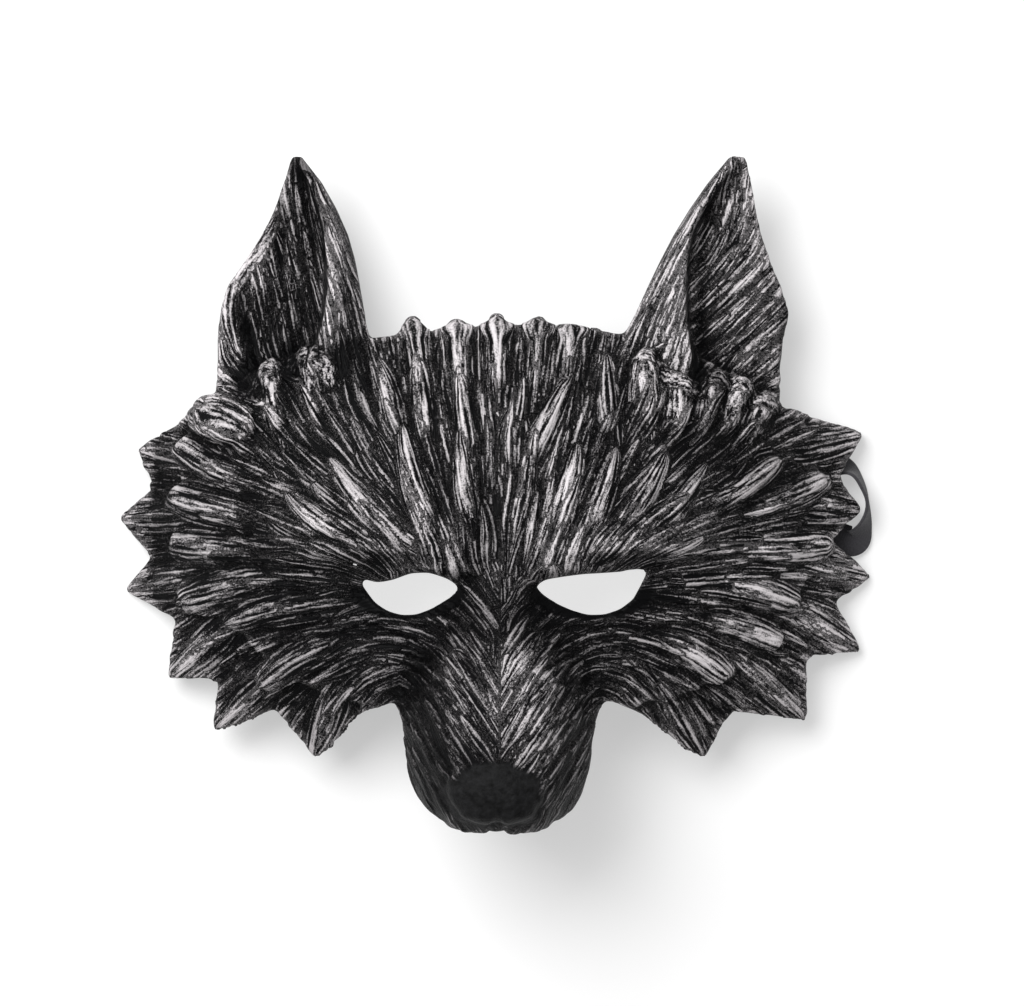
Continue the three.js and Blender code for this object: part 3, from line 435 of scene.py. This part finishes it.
# A knotted edge runs along the ends of the tufts, where the ears begin.
KNOTTED_EDGES = (
    (
        (-102, 67.5), (-93, 69.5), (-86, 67), (-84, 73), (-78.7, 78.5), (-73.5, 76),
        (-70, 81), (-65, 83), (-61, 79), (-58.4, 70),
    ),
    (
        (46.5, 72), (47.5, 79), (51.8, 81), (55.3, 77), (57, 73.5), (61.6, 72.5), (65.8, 70), (69.3, 69.5),
        (72, 72.8), (75.6, 74), (79, 70), (82.6, 71.4), (86.5, 70), (88.6, 65.5), (93, 65), (97, 62),
    ),
)
EDGE_WIDTH = 7.0 * MM
EDGE_RISE = 1.4 * MM
for spots in KNOTTED_EDGES:
    lay_lock(*over_shell(spots), EDGE_WIDTH / 2, EDGE_RISE, chance.uniform(0, PATTERN_SPAN), **EDGE_SHAPE)

# The nose pad and the lower rims of the eyes are left smooth. Each tuft ends in a knuckle, two small
# swellings with a notch between them stand at the upper lip, and the knobs along the top are full.
NOSE = (-2.0, -69.0, 15.5, 9.5)  # middle and half sizes
NOSE_WAVES = ((3, 0.6, 0.06), (5, 2.1, 0.05), (8, 0.3, 0.03))  # waves round its edge, turn and size
EYES = ((-32.0, -0.8, 18.3, 8.4), (32.0, -0.5, 20.0, 8.6))
SWELLINGS = (
    # x, y, half width, half height, rise
    (-9.5, -80.5, 7, 5, 1.3), (8, -80.5, 7, 5, 1.3), (-1, -82, 2.5, 4, -1),
    (-96, 60, 9, 6, 2.6), (-79, 75, 3, 4, 1.2), (-66, 80, 3, 4, 1.2), (50.5, 77, 3, 5, 1.0),
    (61.5, 72, 3, 4, 0.7), (74, 72, 3.5, 4, 0.9), (82.5, 69.5, 3, 4, 0.7), (92, 64.5, 3.5, 3.5, 0.7),
)
KNOBS = (-30.0, -15.0, -1.0, 13.5, 25.5)
KNOB_FOOT = (86.0, 92.0)  # heights over which a knob swells
KNOB_REACH = (2.0, 6.0)  # distances from its middle over which the swelling ends
KNOB_SWELL = 1.0
NOSE_REACH = 1.25  # how far a smooth patch fades out, as a share of its size
EYE_REACH = 1.12
SWELLING_REACH = 1.6
NOSE_HEIGHTS = (80 * MM, 86 * MM)  # the pad lies above these
LOWER_RIM = (0, 3)  # an eye's smooth rim ends between these heights
FUR_FACING = (0.05, 0.5)  # fur starts and is full where the surface faces out by these
EAR_HEIGHTS = (68, 82)
EAR_SIDES = (36, 42)
EDGE_FACING = (0.1, 0.55)  # an ear's edges are bare where their normals point up by less than these
EYE_RIM_BARE = 0.8  # share of the fur that is left off the rims of the eyes
EAR_FUR_LOWER = 0.4  # share by which fur is lower on the ears
x, y = on_face(places)


def round_patch(spot, reach, waves=()):
    """1 inside an oval spot of the face, falling to 0 at reach times its size."""
    right = (x - spot[0]) / spot[2]
    up = (y - spot[1]) / spot[3]
    far = np.hypot(right, up)
    for count, turn, size in waves:
        far += size * np.sin(count * np.arctan2(up, right) + turn)
    return 1 - ramp(far, 1, reach)


nose = round_patch(NOSE, NOSE_REACH, NOSE_WAVES) * ramp(places[:, 2], *NOSE_HEIGHTS)
eye_rims = np.maximum(round_patch(EYES[0], EYE_REACH), round_patch(EYES[1], EYE_REACH))
eye_rims *= 1 - ramp(y, *LOWER_RIM)
on_ears = ramp(y, *EAR_HEIGHTS) * ramp(np.abs(x), *EAR_SIDES)
thin_edges = on_ears * (1 - ramp(normals[:, 2], *EDGE_FACING))
fur = ramp(facing_out(shell.data), *FUR_FACING) * (1 - nose)
fur *= (1 - EYE_RIM_BARE * eye_rims) * (1 - thin_edges)
places += normals * (fur_height * fur * (1 - EAR_FUR_LOWER * on_ears))[:, None]
for spot in SWELLINGS:
    places += normals * (spot[4] * MM * round_patch(spot, SWELLING_REACH))[:, None]
for knob in KNOBS:
    beside = x - knob
    swell = KNOB_SWELL * ramp(y, *KNOB_FOOT) * (1 - ramp(np.abs(beside), *KNOB_REACH))
    places[:, 0] += beside * swell * MM
places[:, 2] = np.maximum(places[:, 2], 0)  # the rim lies on the table
shell.data.vertices.foreach_set("co", places.astype(np.float32).ravel())
shell.data.update()

# How far each point stands out from its surroundings decides where a dry brush leaves paint.
edges = np.empty(len(shell.data.edges) * 2, np.int32)
shell.data.edges.foreach_get("vertices", edges)
edges = edges.reshape(-1, 2)
neighbours = np.bincount(edges.ravel(), minlength=len(places))[:, None]


def relaxed(start, rounds):
    """Places after each point has moved to the middle of its neighbours so many times."""
    moved = start.copy()
    for _ in range(rounds):
        total = np.zeros_like(moved)
        for axis in range(3):
            total[:, axis] += np.bincount(edges[:, 0], moved[edges[:, 1], axis], len(moved))
            total[:, axis] += np.bincount(edges[:, 1], moved[edges[:, 0], axis], len(moved))
        moved = (moved + total / neighbours) / 2
    return moved


FINE_ROUNDS = 12  # rounds that level single locks, and the height of a lock's crest over them
FINE_CREST = 0.35 * MM
BROAD_ROUNDS = 90  # the same for whole tufts and folds
BROAD_CREST = 1.5 * MM
PLAIN_CREST = 0.4
HIGHEST_CREST = 0.8
FINE_SHARE = 0.25
BROAD_SHARE = 0.2
TIP_SHARE = 0.2
normals = normals_of(shell.data)
fine = ((places - relaxed(places, FINE_ROUNDS)) * normals).sum(1) / FINE_CREST
broad = ((places - relaxed(places, BROAD_ROUNDS)) * normals).sum(1) / BROAD_CREST
crest = PLAIN_CREST + FINE_SHARE * fine + BROAD_SHARE * broad + TIP_SHARE * tip
crest = np.clip(crest, 0, HIGHEST_CREST)

# Where the painter pressed harder or left the black bare, as spots on the face. Some spots are painted
# shade, dark in gaps and under edges where shade falls, and one is painted light on a shaded wall.
BRUSHING_AND_PAINTED_SHADE = (
    # x, y, half width, half height, more or less paint: forehead and brow
    (0, 48, 26, 36, 0.15), (32, 28, 24, 20, 0.12), (-55, 36, 18, 18, 0.05), (-57, 27, 9, 4.5, 0.2),
    (-32, 29, 6, 9, 0.12), (25, 32, 7, 10, 0.15), (43, 20, 9, 5, 0.2), (-3, 27, 3, 13, -0.25),
    (-21, 37, 2.5, 9, -0.2), (32, 49, 8, 6, -0.25), (71, 51, 8, 6, -0.2), (-50, 77, 6, 7, -0.25),
    (-18, 66, 4, 8, 0.12), (0, 67, 4, 8, 0.12), (-41, 71, 3, 8, 0.12), (0, 82, 40, 8, 0.08),
    # ears: the dark spots inside the left ear's rim (-91, 95 and -87.5, 84) and right of the right ear's
    # fold (70, 84) are painted shade; the extra paint on the right fold's wall (67, 114) is painted light
    # where shade falls
    (-96, 100, 4, 24, 0.35), (-91, 82, 3, 6, 0.3), (-91, 95, 2.5, 7, -0.35), (-87.5, 84, 2.5, 7, -0.35),
    (-85, 122, 5, 12, 0.25), (-58.5, 112, 3, 34, 0.25), (-52, 105, 5, 26, 0.1), (-76, 92, 7, 10, -0.2),
    (-76, 112, 9, 22, 0.18), (61, 106, 4, 36, 0.6), (54, 96, 8, 26, 0.45), (70, 84, 5, 7, -0.3),
    (67, 114, 3, 22, 0.3), (85, 106, 10, 28, 0.6), (80, 138, 5, 8, 0.1), (-69.5, 150, 5, 5, -0.4),
    (-78, 130, 3, 8, -0.3), (100, 90, 2.5, 14, -0.4), (94, 116, 2.5, 16, -0.4),
    # tufts and the gaps between them: the gaps are left bare by the brush and are also painted shade
    # between the tufts
    (-95, 57, 16, 10, 0.08), (-72, 68, 16, 10, 0.12), (72, 68, 26, 12, 0.05), (-87, 73, 4, 6, -0.5),
    (-73, 79, 3, 5, -0.5), (-57, 84, 4, 5, -0.3), (56.5, 79, 3, 5, -0.5), (67.5, 75, 2.5, 4, -0.5),
    (77, 74, 2.5, 4, -0.5), (88, 71, 3, 4, -0.5),
    # cheeks and spikes: the narrow dark strip at -117.5 is a painted shadow under the edge of the cheek's
    # upper tier
    (-32, -8, 30, 12, -0.1), (34, -8, 30, 12, -0.12), (-50, -26, 24, 12, -0.05), (50, -26, 24, 12, 0.05),
    (-126, 10, 12, 50, 0.05), (124, 14, 12, 50, 0.12), (-70, 0, 22, 24, -0.06), (90, -2, 24, 24, 0.2),
    (-117.5, 24, 2.5, 34, -0.3),
    # muzzle
    (0, 0, 12, 12, -0.08), (8, -44, 9, 20, 0.36), (-29, -56, 9, 26, -0.31), (29, -56, 9, 26, -0.17),
    (-2, -67, 19, 14, -0.25),
)
PLAIN_BRUSHING = 0.57
LEAST_BRUSHING = 0.1
BRUSH_AND_SHADE_REACH = 1.8
SEAM = (0, 0.4)  # millimetres over which the paint stops at a lock's edge
# the brushing, with the painted shade and painted light of the spots mixed in
brush_and_shade = np.full(len(places), PLAIN_BRUSHING)
for spot in BRUSHING_AND_PAINTED_SHADE:
    brush_and_shade += spot[4] * round_patch(spot, BRUSH_AND_SHADE_REACH)
brush_and_shade = np.clip(brush_and_shade, LEAST_BRUSHING, 1) * (1 - nose) * (1 - eye_rims)


def keep_on(mesh, name, values):
    """Stores a number or a vector for each vertex, for the material to read."""
    kind = "FLOAT_VECTOR" if values.ndim == 2 else "FLOAT"
    field = "vector" if values.ndim == 2 else "value"
    mesh.attributes.new(name, kind, "POINT").data.foreach_set(field, values.astype(np.float32).ravel())


keep_on(shell.data, "strand", strand)
keep_on(shell.data, "crest", crest)
keep_on(shell.data, "brush_and_shade", brush_and_shade)
keep_on(shell.data, "fur", fur * ramp(border, *SEAM))
keep_on(shell.data, "pad", nose)
shell.data.polygons.foreach_set("use_smooth", np.ones(len(shell.data.polygons), bool))


def linear(hex_colour):
    """An sRGB hex colour as linear red, green, blue and alpha."""
    parts = [int(hex_colour[i:i + 2], 16) / 255 for i in (1, 3, 5)]
    return (*(c / 12.92 if c <= 0.04045 else ((c + 0.055) / 1.055) ** 2.4 for c in parts), 1.0)


def new_material(name):
    """An empty material and its shader."""
    material = bpy.data.materials.new(name)
    material.use_nodes = True
    return material, material.node_tree.nodes["Principled BSDF"]


def node(material, kind, settings=None, **inputs):
    """Adds a node: settings are its own values, inputs are numbers, colours or other nodes' outputs."""
    made = material.node_tree.nodes.new(kind)
    for name, value in (settings or {}).items():
        setattr(made, name, value)
    for name, value in inputs.items():
        numbered = name[1:].isdigit()
        socket = made.inputs[int(name[1:]) if numbered else name.replace("_", " ").title()]
        if isinstance(value, bpy.types.NodeSocket):
            material.node_tree.links.new(value, socket)
        else:
            socket.default_value = value
    return made


# Black polyurethane foam with silver paint, dry-brushed: the moulding is black and slightly glossy in the
# grooves, and broken silver streaks lie along the strands where the brush touched.
FOAM_BLACK = "#060607"
NOSE_GREYS = ("#080808", "#202021")
SILVER_PAINT = "#d2cdcf"
RIDGE_PITCH = 1.2  # millimetres across one scored ridge
RIDGE_LENGTH = 18.0
GROOVE_PITCH = 1.9  # millimetres between the tool's own grooves
GROOVE_LENGTH = 9.0  # millimetres along which a groove wanders
HAIR_PITCH = 0.5  # millimetres across one hair of a ridge
HAIR_LENGTH = 4.0
FLECK_SIZE = 0.55  # millimetres, pores of the foam that break up the paint
CREASE_SIZE = 2.2  # millimetres, leathery creases of the nose
CREASE_HEIGHT = 1.6  # how much stronger than the scoring
RELIEF_HEIGHT = 0.6 * MM
WAVE_SCALE = math.tau / 20  # one band of the wave texture in each unit
PAINT_WEIGHTS = {"ridges": 1.5, "grooves": 0.3, "crests": 0.5, "brush_and_shade": 0.3, "flecks": 1.2}
PAINT_STARTS = 2.32  # sum of the weighted patterns at which paint begins, and at which it covers
PAINT_COVERS = 3.08
LEAST_LADEN = 0.5  # paint on the brush away from the crests
foam, shader = new_material("black_foam_brushed_silver")
strands = node(foam, "ShaderNodeAttribute", {"attribute_name": "strand"})
crests = node(foam, "ShaderNodeAttribute", {"attribute_name": "crest"})
# this attribute carries painted shade and painted light along with the brushing
brushed_and_shaded = node(foam, "ShaderNodeAttribute", {"attribute_name": "brush_and_shade"})
furry = node(foam, "ShaderNodeAttribute", {"attribute_name": "fur"})
pad = node(foam, "ShaderNodeAttribute", {"attribute_name": "pad"})
ridge_place = node(
    foam, "ShaderNodeVectorMath", {"operation": "MULTIPLY"},
    _0=strands.outputs["Vector"], _1=(1 / RIDGE_PITCH, 1 / RIDGE_LENGTH, 1.0),
)
ridges = node(foam, "ShaderNodeTexNoise", vector=ridge_place.outputs["Vector"], scale=1.0, detail=0.0)
groove_place = node(
    foam, "ShaderNodeVectorMath", {"operation": "MULTIPLY"},
    _0=strands.outputs["Vector"], _1=(1 / GROOVE_PITCH, 1 / GROOVE_LENGTH, 1.0),
)
grooves = node(
    foam, "ShaderNodeTexWave", {"bands_direction": "X", "wave_profile": "SIN"},
    vector=groove_place.outputs["Vector"], scale=WAVE_SCALE,
    distortion=5.0, detail=2.0, detail_scale=2.5,
)
hair_place = node(
    foam, "ShaderNodeVectorMath", {"operation": "MULTIPLY"},
    _0=strands.outputs["Vector"], _1=(1 / HAIR_PITCH, 1 / HAIR_LENGTH, 1.7),
)
hairs = node(foam, "ShaderNodeTexNoise", vector=hair_place.outputs["Vector"], scale=1.0, detail=1.0)
here = node(foam, "ShaderNodeTexCoord")
flecks = node(
    foam, "ShaderNodeTexNoise", vector=here.outputs["Object"], scale=1 / (FLECK_SIZE * MM), detail=3.0,
)
combed = node(
    foam, "ShaderNodeMath", {"operation": "MULTIPLY_ADD"},
    _0=ridges.outputs["Fac"], _1=PAINT_WEIGHTS["ridges"], _2=hairs.outputs["Fac"],
)
relief = node(
    foam, "ShaderNodeMath", {"operation": "MULTIPLY_ADD"},
    _0=grooves.outputs["Fac"], _1=PAINT_WEIGHTS["grooves"], _2=combed.outputs["Value"],
)
on_crest = node(
    foam, "ShaderNodeMath", {"operation": "MULTIPLY_ADD"},
    _0=crests.outputs["Fac"], _1=PAINT_WEIGHTS["crests"], _2=relief.outputs["Value"],
)
pressed_and_shaded = node(
    foam, "ShaderNodeMath", {"operation": "MULTIPLY_ADD"},
    _0=brushed_and_shaded.outputs["Fac"], _1=PAINT_WEIGHTS["brush_and_shade"], _2=on_crest.outputs["Value"],
)
broken = node(
    foam, "ShaderNodeMath", {"operation": "MULTIPLY_ADD"},
    _0=flecks.outputs["Fac"], _1=PAINT_WEIGHTS["flecks"], _2=pressed_and_shaded.outputs["Value"],
)
paint = node(
    foam, "ShaderNodeMapRange", {"interpolation_type": "SMOOTHSTEP"},
    value=broken.outputs["Value"], from_min=PAINT_STARTS, from_max=PAINT_COVERS,
)
laden = node(foam, "ShaderNodeMath", {"operation": "ADD"}, _0=crests.outputs["Fac"], _1=LEAST_LADEN)
strength = node(
    foam, "ShaderNodeMath", {"operation": "MULTIPLY", "use_clamp": True},
    _0=laden.outputs["Value"], _1=brushed_and_shaded.outputs["Fac"],
)
thin = node(
    foam, "ShaderNodeMath", {"operation": "MULTIPLY"},
    _0=paint.outputs["Result"], _1=strength.outputs["Value"],
)
on_fur = node(
    foam, "ShaderNodeMath", {"operation": "MULTIPLY"},
    _0=thin.outputs["Value"], _1=furry.outputs["Fac"],
)
creases = node(
    foam, "ShaderNodeTexNoise", vector=here.outputs["Object"], scale=1 / (CREASE_SIZE * MM), detail=5.0,
    roughness=0.65,
)
worn_grey = node(foam, "ShaderNodeMapRange", value=creases.outputs["Fac"], from_min=0.3, from_max=0.7)
leather = node(
    foam, "ShaderNodeMix", {"data_type": "RGBA"},
    _0=worn_grey.outputs["Result"], _6=linear(NOSE_GREYS[0]), _7=linear(NOSE_GREYS[1]),
)
bare = node(
    foam, "ShaderNodeMix", {"data_type": "RGBA"},
    _0=pad.outputs["Fac"], _6=linear(FOAM_BLACK), _7=leather.outputs[2],
)
colour = node(
    foam, "ShaderNodeMix", {"data_type": "RGBA"},
    _0=on_fur.outputs["Value"], _6=bare.outputs[2], _7=linear(SILVER_PAINT),
)
gloss = node(foam, "ShaderNodeMapRange", value=on_fur.outputs["Value"], to_min=0.52, to_max=0.45)
scored = node(
    foam, "ShaderNodeMath", {"operation": "MULTIPLY"},
    _0=relief.outputs["Value"], _1=furry.outputs["Fac"],
)
deep = node(foam, "ShaderNodeMath", {"operation": "MULTIPLY"}, _0=pad.outputs["Fac"], _1=CREASE_HEIGHT)
leathery = node(
    foam, "ShaderNodeMath", {"operation": "MULTIPLY_ADD"},
    _0=creases.outputs["Fac"], _1=deep.outputs["Value"], _2=scored.outputs["Value"],
)
bump = node(foam, "ShaderNodeBump", strength=0.9, distance=RELIEF_HEIGHT, height=leathery.outputs["Value"])
shader.inputs["Specular IOR Level"].default_value = 0.06
foam.node_tree.links.new(colour.outputs[2], shader.inputs["Base Color"])
foam.node_tree.links.new(gloss.outputs["Result"], shader.inputs["Roughness"])
foam.node_tree.links.new(bump.outputs["Normal"], shader.inputs["Normal"])
shell.data.materials.clear()
shell.data.materials.append(foam)
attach(shell, "root")
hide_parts("mask_shell")

# Elastic band
# One length of woven elastic, black, behind the mask from cheek to cheek: it lies slack on the surface and
# stands out in a small loop at one side. Each end is riveted to the inside of a cheek.
BAND_WIDTH = 11 * MM
BAND_THICKNESS = 1.2 * MM
RIB_PITCH = 1.1  # millimetres between the ribs along the band
RIB_POINTS = 4
RIB_DEPTH = 0.18  # share of the half thickness
EDGE_STRIP = (0.46, 0.5)  # shares of the width over which the band thins to its edge
EDGE_THINNING = 0.6
BAND_STATIONS = 320
BAND_CREASE = math.radians(50)  # edges sharper than this stay sharp
BAND_ROUTE = (
    # x, y, z from the midline, the eye line and the surface, then the lean: 0 lies flat, 90 stands on edge
    (103, 21, 6.6, 0), (113, 20.5, 6.6, 0), (118.5, 18.2, 5.2, 5), (124, 17.2, 4.2, 20),
    (127.1, 21.4, 5.2, 58), (128.6, 29.5, 6.3, 86), (127, 36, 6.3, 82), (123.6, 41.4, 5.9, 72),
    (115, 44.2, 3, 22), (102, 46.5, 1, 2), (84, 50.5, 0.9, 0), (50, 55, 0.9, 0),
    (0, 58, 0.9, 0), (-50, 54, 0.9, 0), (-78, 46, 0.9, 0),
    (-90, 37.5, 2.6, 0), (-97, 31.5, 5.2, 0), (-102, 27, 6.6, 0), (-108, 21, 6.6, 0), (-112, 16.5, 6.6, 0),
)
SMALLEST_GAP = 1e-6  # keeps two equal points apart


def through(points, count):
    """Points of an even curve through the given ones."""
    points = np.array(points, float)
    longer = np.vstack((2 * points[:1] - points[1:2], points, 2 * points[-1:] - points[-2:-1]))
    made = []
    for step in np.linspace(0, len(points) - 1, count):
        start = min(int(step), len(points) - 2)
        a, b, c, d = longer[start:start + 4]
        pairs = ((a, b), (b, c), (c, d))
        gaps = [max(np.linalg.norm(q[:3] - p[:3]) ** 0.5, SMALLEST_GAP) for p, q in pairs]
        knots = np.cumsum([0] + gaps)
        t = knots[1] + (step - start) * (knots[2] - knots[1])
        ab = ((knots[1] - t) * a + (t - knots[0]) * b) / (knots[1] - knots[0])
        bc = ((knots[2] - t) * b + (t - knots[1]) * c) / (knots[2] - knots[1])
        cd = ((knots[3] - t) * c + (t - knots[2]) * d) / (knots[3] - knots[2])
        abc = ((knots[2] - t) * ab + (t - knots[0]) * bc) / (knots[2] - knots[0])
        bcd = ((knots[3] - t) * bc + (t - knots[1]) * cd) / (knots[3] - knots[1])
        made.append(((knots[2] - t) * abc + (t - knots[1]) * bcd) / (knots[2] - knots[1]))
    return np.array(made)


route = through(BAND_ROUTE, BAND_STATIONS)
line = route[:, :3] * MM + (MIDLINE, EYE_LINE, 0)
ahead = np.gradient(line, axis=0)
ahead /= np.linalg.norm(ahead, axis=1, keepdims=True)
flat = np.cross((0, 0, 1), ahead)
flat /= np.linalg.norm(flat, axis=1, keepdims=True)
lean = np.radians(route[:, 3:])
wide = np.cos(lean) * flat + np.sin(lean) * np.cross(ahead, flat)
thick = np.cross(ahead, wide)
travelled = np.concatenate(((0,), np.cumsum(np.linalg.norm(np.diff(line, axis=0), axis=1))))
ribs = int(BAND_WIDTH / MM / RIB_PITCH)
face_across = np.linspace(-0.5, 0.5, RIB_POINTS * ribs + 1)
between_ribs = 0.5 + 0.5 * np.cos(2 * np.pi * ribs * (face_across + 0.5))
face_lift = 0.5 * (1 - RIB_DEPTH * between_ribs)
face_lift *= 1 - EDGE_THINNING * ramp(np.abs(face_across), *EDGE_STRIP)
section = np.vstack((
    np.column_stack((face_across, face_lift)), np.column_stack((face_across[::-1], -face_lift[::-1])),
))
vertices = (
    line[:, None]
    + section[None, :, :1] * BAND_WIDTH * wide[:, None]
    + section[None, :, 1:] * BAND_THICKNESS * thick[:, None]
)
size = len(section)
faces = [
    (row * size + k, row * size + (k + 1) % size, (row + 1) * size + (k + 1) % size, (row + 1) * size + k)
    for row in range(BAND_STATIONS - 1) for k in range(size)
]
faces += [tuple(range(size))[::-1], tuple((BAND_STATIONS - 1) * size + k for k in range(size))]
band = bpy.data.objects.new("woven_band", bpy.data.meshes.new("woven_band"))
bpy.context.scene.collection.objects.link(band)
band.data.from_pydata(vertices.reshape(-1, 3).tolist(), [], faces)
across_band = np.tile(section[:, 0] * BAND_WIDTH / MM, BAND_STATIONS)
along_band = np.repeat(travelled / MM, size)
keep_on(band.data, "weave", np.column_stack((across_band, along_band, np.zeros(BAND_STATIONS * size))))
bpy.ops.object.select_all(action="DESELECT")
band.select_set(True)
bpy.context.view_layer.objects.active = band
bpy.ops.object.mode_set(mode="EDIT")
bpy.ops.mesh.select_all(action="SELECT")
bpy.ops.mesh.normals_make_consistent(inside=False)
bpy.ops.object.mode_set(mode="OBJECT")
bpy.ops.object.shade_smooth_by_angle(angle=BAND_CREASE)

# Woven black elastic: polyester threads over rubber, with raised ribs along it and fine picks across.
PICK_PITCH = 0.9  # millimetres between picks, as coarse as they need to show
PICK_DEPTH = 0.3 * MM
FUZZ_SIZE = 0.4  # millimetres
THREAD_BLACKS = ("#201f22", "#454448")
elastic, shader = new_material("woven_black_elastic")
weave = node(elastic, "ShaderNodeAttribute", {"attribute_name": "weave"})
picks_place = node(
    elastic, "ShaderNodeVectorMath", {"operation": "MULTIPLY"},
    _0=weave.outputs["Vector"], _1=(1 / RIB_PITCH, 1 / PICK_PITCH, 1.0),
)
picks = node(
    elastic, "ShaderNodeTexVoronoi",
    vector=picks_place.outputs["Vector"], scale=1.0, randomness=0.25,
)
fuzz = node(elastic, "ShaderNodeTexNoise", vector=weave.outputs["Vector"], scale=1 / FUZZ_SIZE, detail=3.0)
cloth = node(
    elastic, "ShaderNodeMix", {"data_type": "RGBA"},
    _0=fuzz.outputs["Fac"], _6=linear(THREAD_BLACKS[0]), _7=linear(THREAD_BLACKS[1]),
)
raised = node(
    elastic, "ShaderNodeBump", {"invert": True},
    strength=0.7, distance=PICK_DEPTH, height=picks.outputs["Distance"],
)
dull = node(elastic, "ShaderNodeMapRange", value=fuzz.outputs["Fac"], to_min=0.75, to_max=0.95)
shader.inputs["Specular IOR Level"].default_value = 0.2
shader.inputs["Sheen Weight"].default_value = 0.15
elastic.node_tree.links.new(cloth.outputs[2], shader.inputs["Base Color"])
elastic.node_tree.links.new(dull.outputs["Result"], shader.inputs["Roughness"])
elastic.node_tree.links.new(raised.outputs["Normal"], shader.inputs["Normal"])
band.data.materials.append(elastic)
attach(band, "root")
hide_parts("elastic_strap")

# Rivets
# A black plastic rivet at each end of the band: a flat domed head under the band and a stem pressed up into
# the boss inside the cheek. They are hidden behind the mask.
RIVET_EDGE = 0.6 * MM
RIVET_CREASE = math.radians(35)
BEVELLED_FROM = math.radians(40)
RIVET_BLACK = "#1b1b1c"
PIT_SIZE = 0.4 * MM
PIT_DEPTH = 0.05 * MM
nylon, shader = new_material("moulded_black_nylon")
shader.inputs["Base Color"].default_value = linear(RIVET_BLACK)
grain = node(nylon, "ShaderNodeTexCoord")
speckle = node(nylon, "ShaderNodeTexNoise", vector=grain.outputs["Object"], scale=1 / PIT_SIZE, detail=2.0)
satin = node(nylon, "ShaderNodeMapRange", value=speckle.outputs["Fac"], to_min=0.3, to_max=0.5)
pitted = node(nylon, "ShaderNodeBump", strength=0.2, distance=PIT_DEPTH, height=speckle.outputs["Fac"])
nylon.node_tree.links.new(satin.outputs["Result"], shader.inputs["Roughness"])
nylon.node_tree.links.new(pitted.outputs["Normal"], shader.inputs["Normal"])
for side in ("left", "right"):
    rivet = copy_of_node(f"strap_rivet_{side}", f"rivet_{side}")
    finish_with(
        rivet, "BEVEL", width=RIVET_EDGE, segments=4, limit_method="ANGLE", angle_limit=BEVELLED_FROM,
    )
    bpy.ops.object.shade_smooth_by_angle(angle=RIVET_CREASE)
    rivet.data.materials.clear()
    rivet.data.materials.append(nylon)
    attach(rivet, "root")
    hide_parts(f"strap_rivet_{side}")

# Studio
# The mask lies face up on a pale light table under soft light from the upper left, seen from straight
# above. The table glows brighter in an oval under the eyes: a painted pool of light where the mask's
# shade falls.
# painted light: an oval of brighter glow in the table under the eyes, where the mask's shade falls
PAINTED_LIGHT_SIZE = (52 * MM, 16 * MM)  # half its width and height
PAINTED_LIGHT_FADES = (1.0, 1.5)  # from its edge to where it ends, in its own size
PAINTED_LIGHT_GLOW = 0.72
TABLE_GLOW = 0.42
TABLE_GREY = "#bcbcbc"
TABLE_SIZE = 6.0
TABLE_DROP = 0.2 * MM
WHITE = "#ffffff"
SKY_STRENGTH = 0.5
KEY_SIZE = 1.2
KEY_POWER = 46
KEY_PLACE = (-0.7, 0.7, 1.7)
KEY_AIM = (0, 0, 0.03)
bpy.ops.mesh.primitive_plane_add(size=TABLE_SIZE, location=(0, 0, -TABLE_DROP))
floor = bpy.context.object
floor.name = "pale_floor"
paper, shader = new_material("light_table_with_painted_glow")
shader.inputs["Base Color"].default_value = linear(TABLE_GREY)
shader.inputs["Roughness"].default_value = 0.9
shader.inputs["Specular IOR Level"].default_value = 0.1
shader.inputs["Emission Color"].default_value = linear(WHITE)
here = node(paper, "ShaderNodeTexCoord")
from_middle = node(
    paper, "ShaderNodeVectorMath", {"operation": "SUBTRACT"},
    _0=here.outputs["Object"], _1=(MIDLINE, EYE_LINE, 0),
)
painted_light_place = node(
    paper, "ShaderNodeVectorMath", {"operation": "DIVIDE"},
    _0=from_middle.outputs["Vector"], _1=(*PAINTED_LIGHT_SIZE, 1),
)
painted_light_far = node(paper, "ShaderNodeVectorMath", {"operation": "LENGTH"}, _0=painted_light_place.outputs["Vector"])
glow = node(
    paper, "ShaderNodeMapRange", {"interpolation_type": "SMOOTHSTEP"},
    value=painted_light_far.outputs["Value"],
    from_min=PAINTED_LIGHT_FADES[0], from_max=PAINTED_LIGHT_FADES[1], to_min=PAINTED_LIGHT_GLOW, to_max=TABLE_GLOW,
)
paper.node_tree.links.new(glow.outputs["Result"], shader.inputs["Emission Strength"])
floor.data.materials.append(paper)

world = bpy.data.worlds.new("soft_studio")
world.use_nodes = True
world.node_tree.nodes["Background"].inputs["Color"].default_value = linear(WHITE)
world.node_tree.nodes["Background"].inputs["Strength"].default_value = SKY_STRENGTH
bpy.context.scene.world = world
key = bpy.data.objects.new("key_light", bpy.data.lights.new("key_light", "AREA"))
bpy.context.scene.collection.objects.link(key)
key.data.size = KEY_SIZE
key.data.energy = KEY_POWER
key.location = KEY_PLACE
key.rotation_euler = (Vector(KEY_AIM) - key.location).to_track_quat("-Z", "Y").to_euler()

CAMERA_HEIGHT = 3.6
PIXEL = 0.35 * MM  # real size of a pixel of the photograph at the mask's rim
IMAGE_WIDTH = 1024
RIM_HEIGHT = 5 * MM
AIM = (5.2 * MM, -4.3 * MM)  # the image's middle
camera = bpy.data.objects.new("camera", bpy.data.cameras.new("camera"))
bpy.context.scene.collection.objects.link(camera)
camera.location = (*AIM, CAMERA_HEIGHT)
camera.data.lens = camera.data.sensor_width * (CAMERA_HEIGHT - RIM_HEIGHT) / (IMAGE_WIDTH * PIXEL)
camera.data.clip_end = 20
bpy.context.scene.camera = camera
bpy.context.scene.view_settings.view_transform = "Standard"
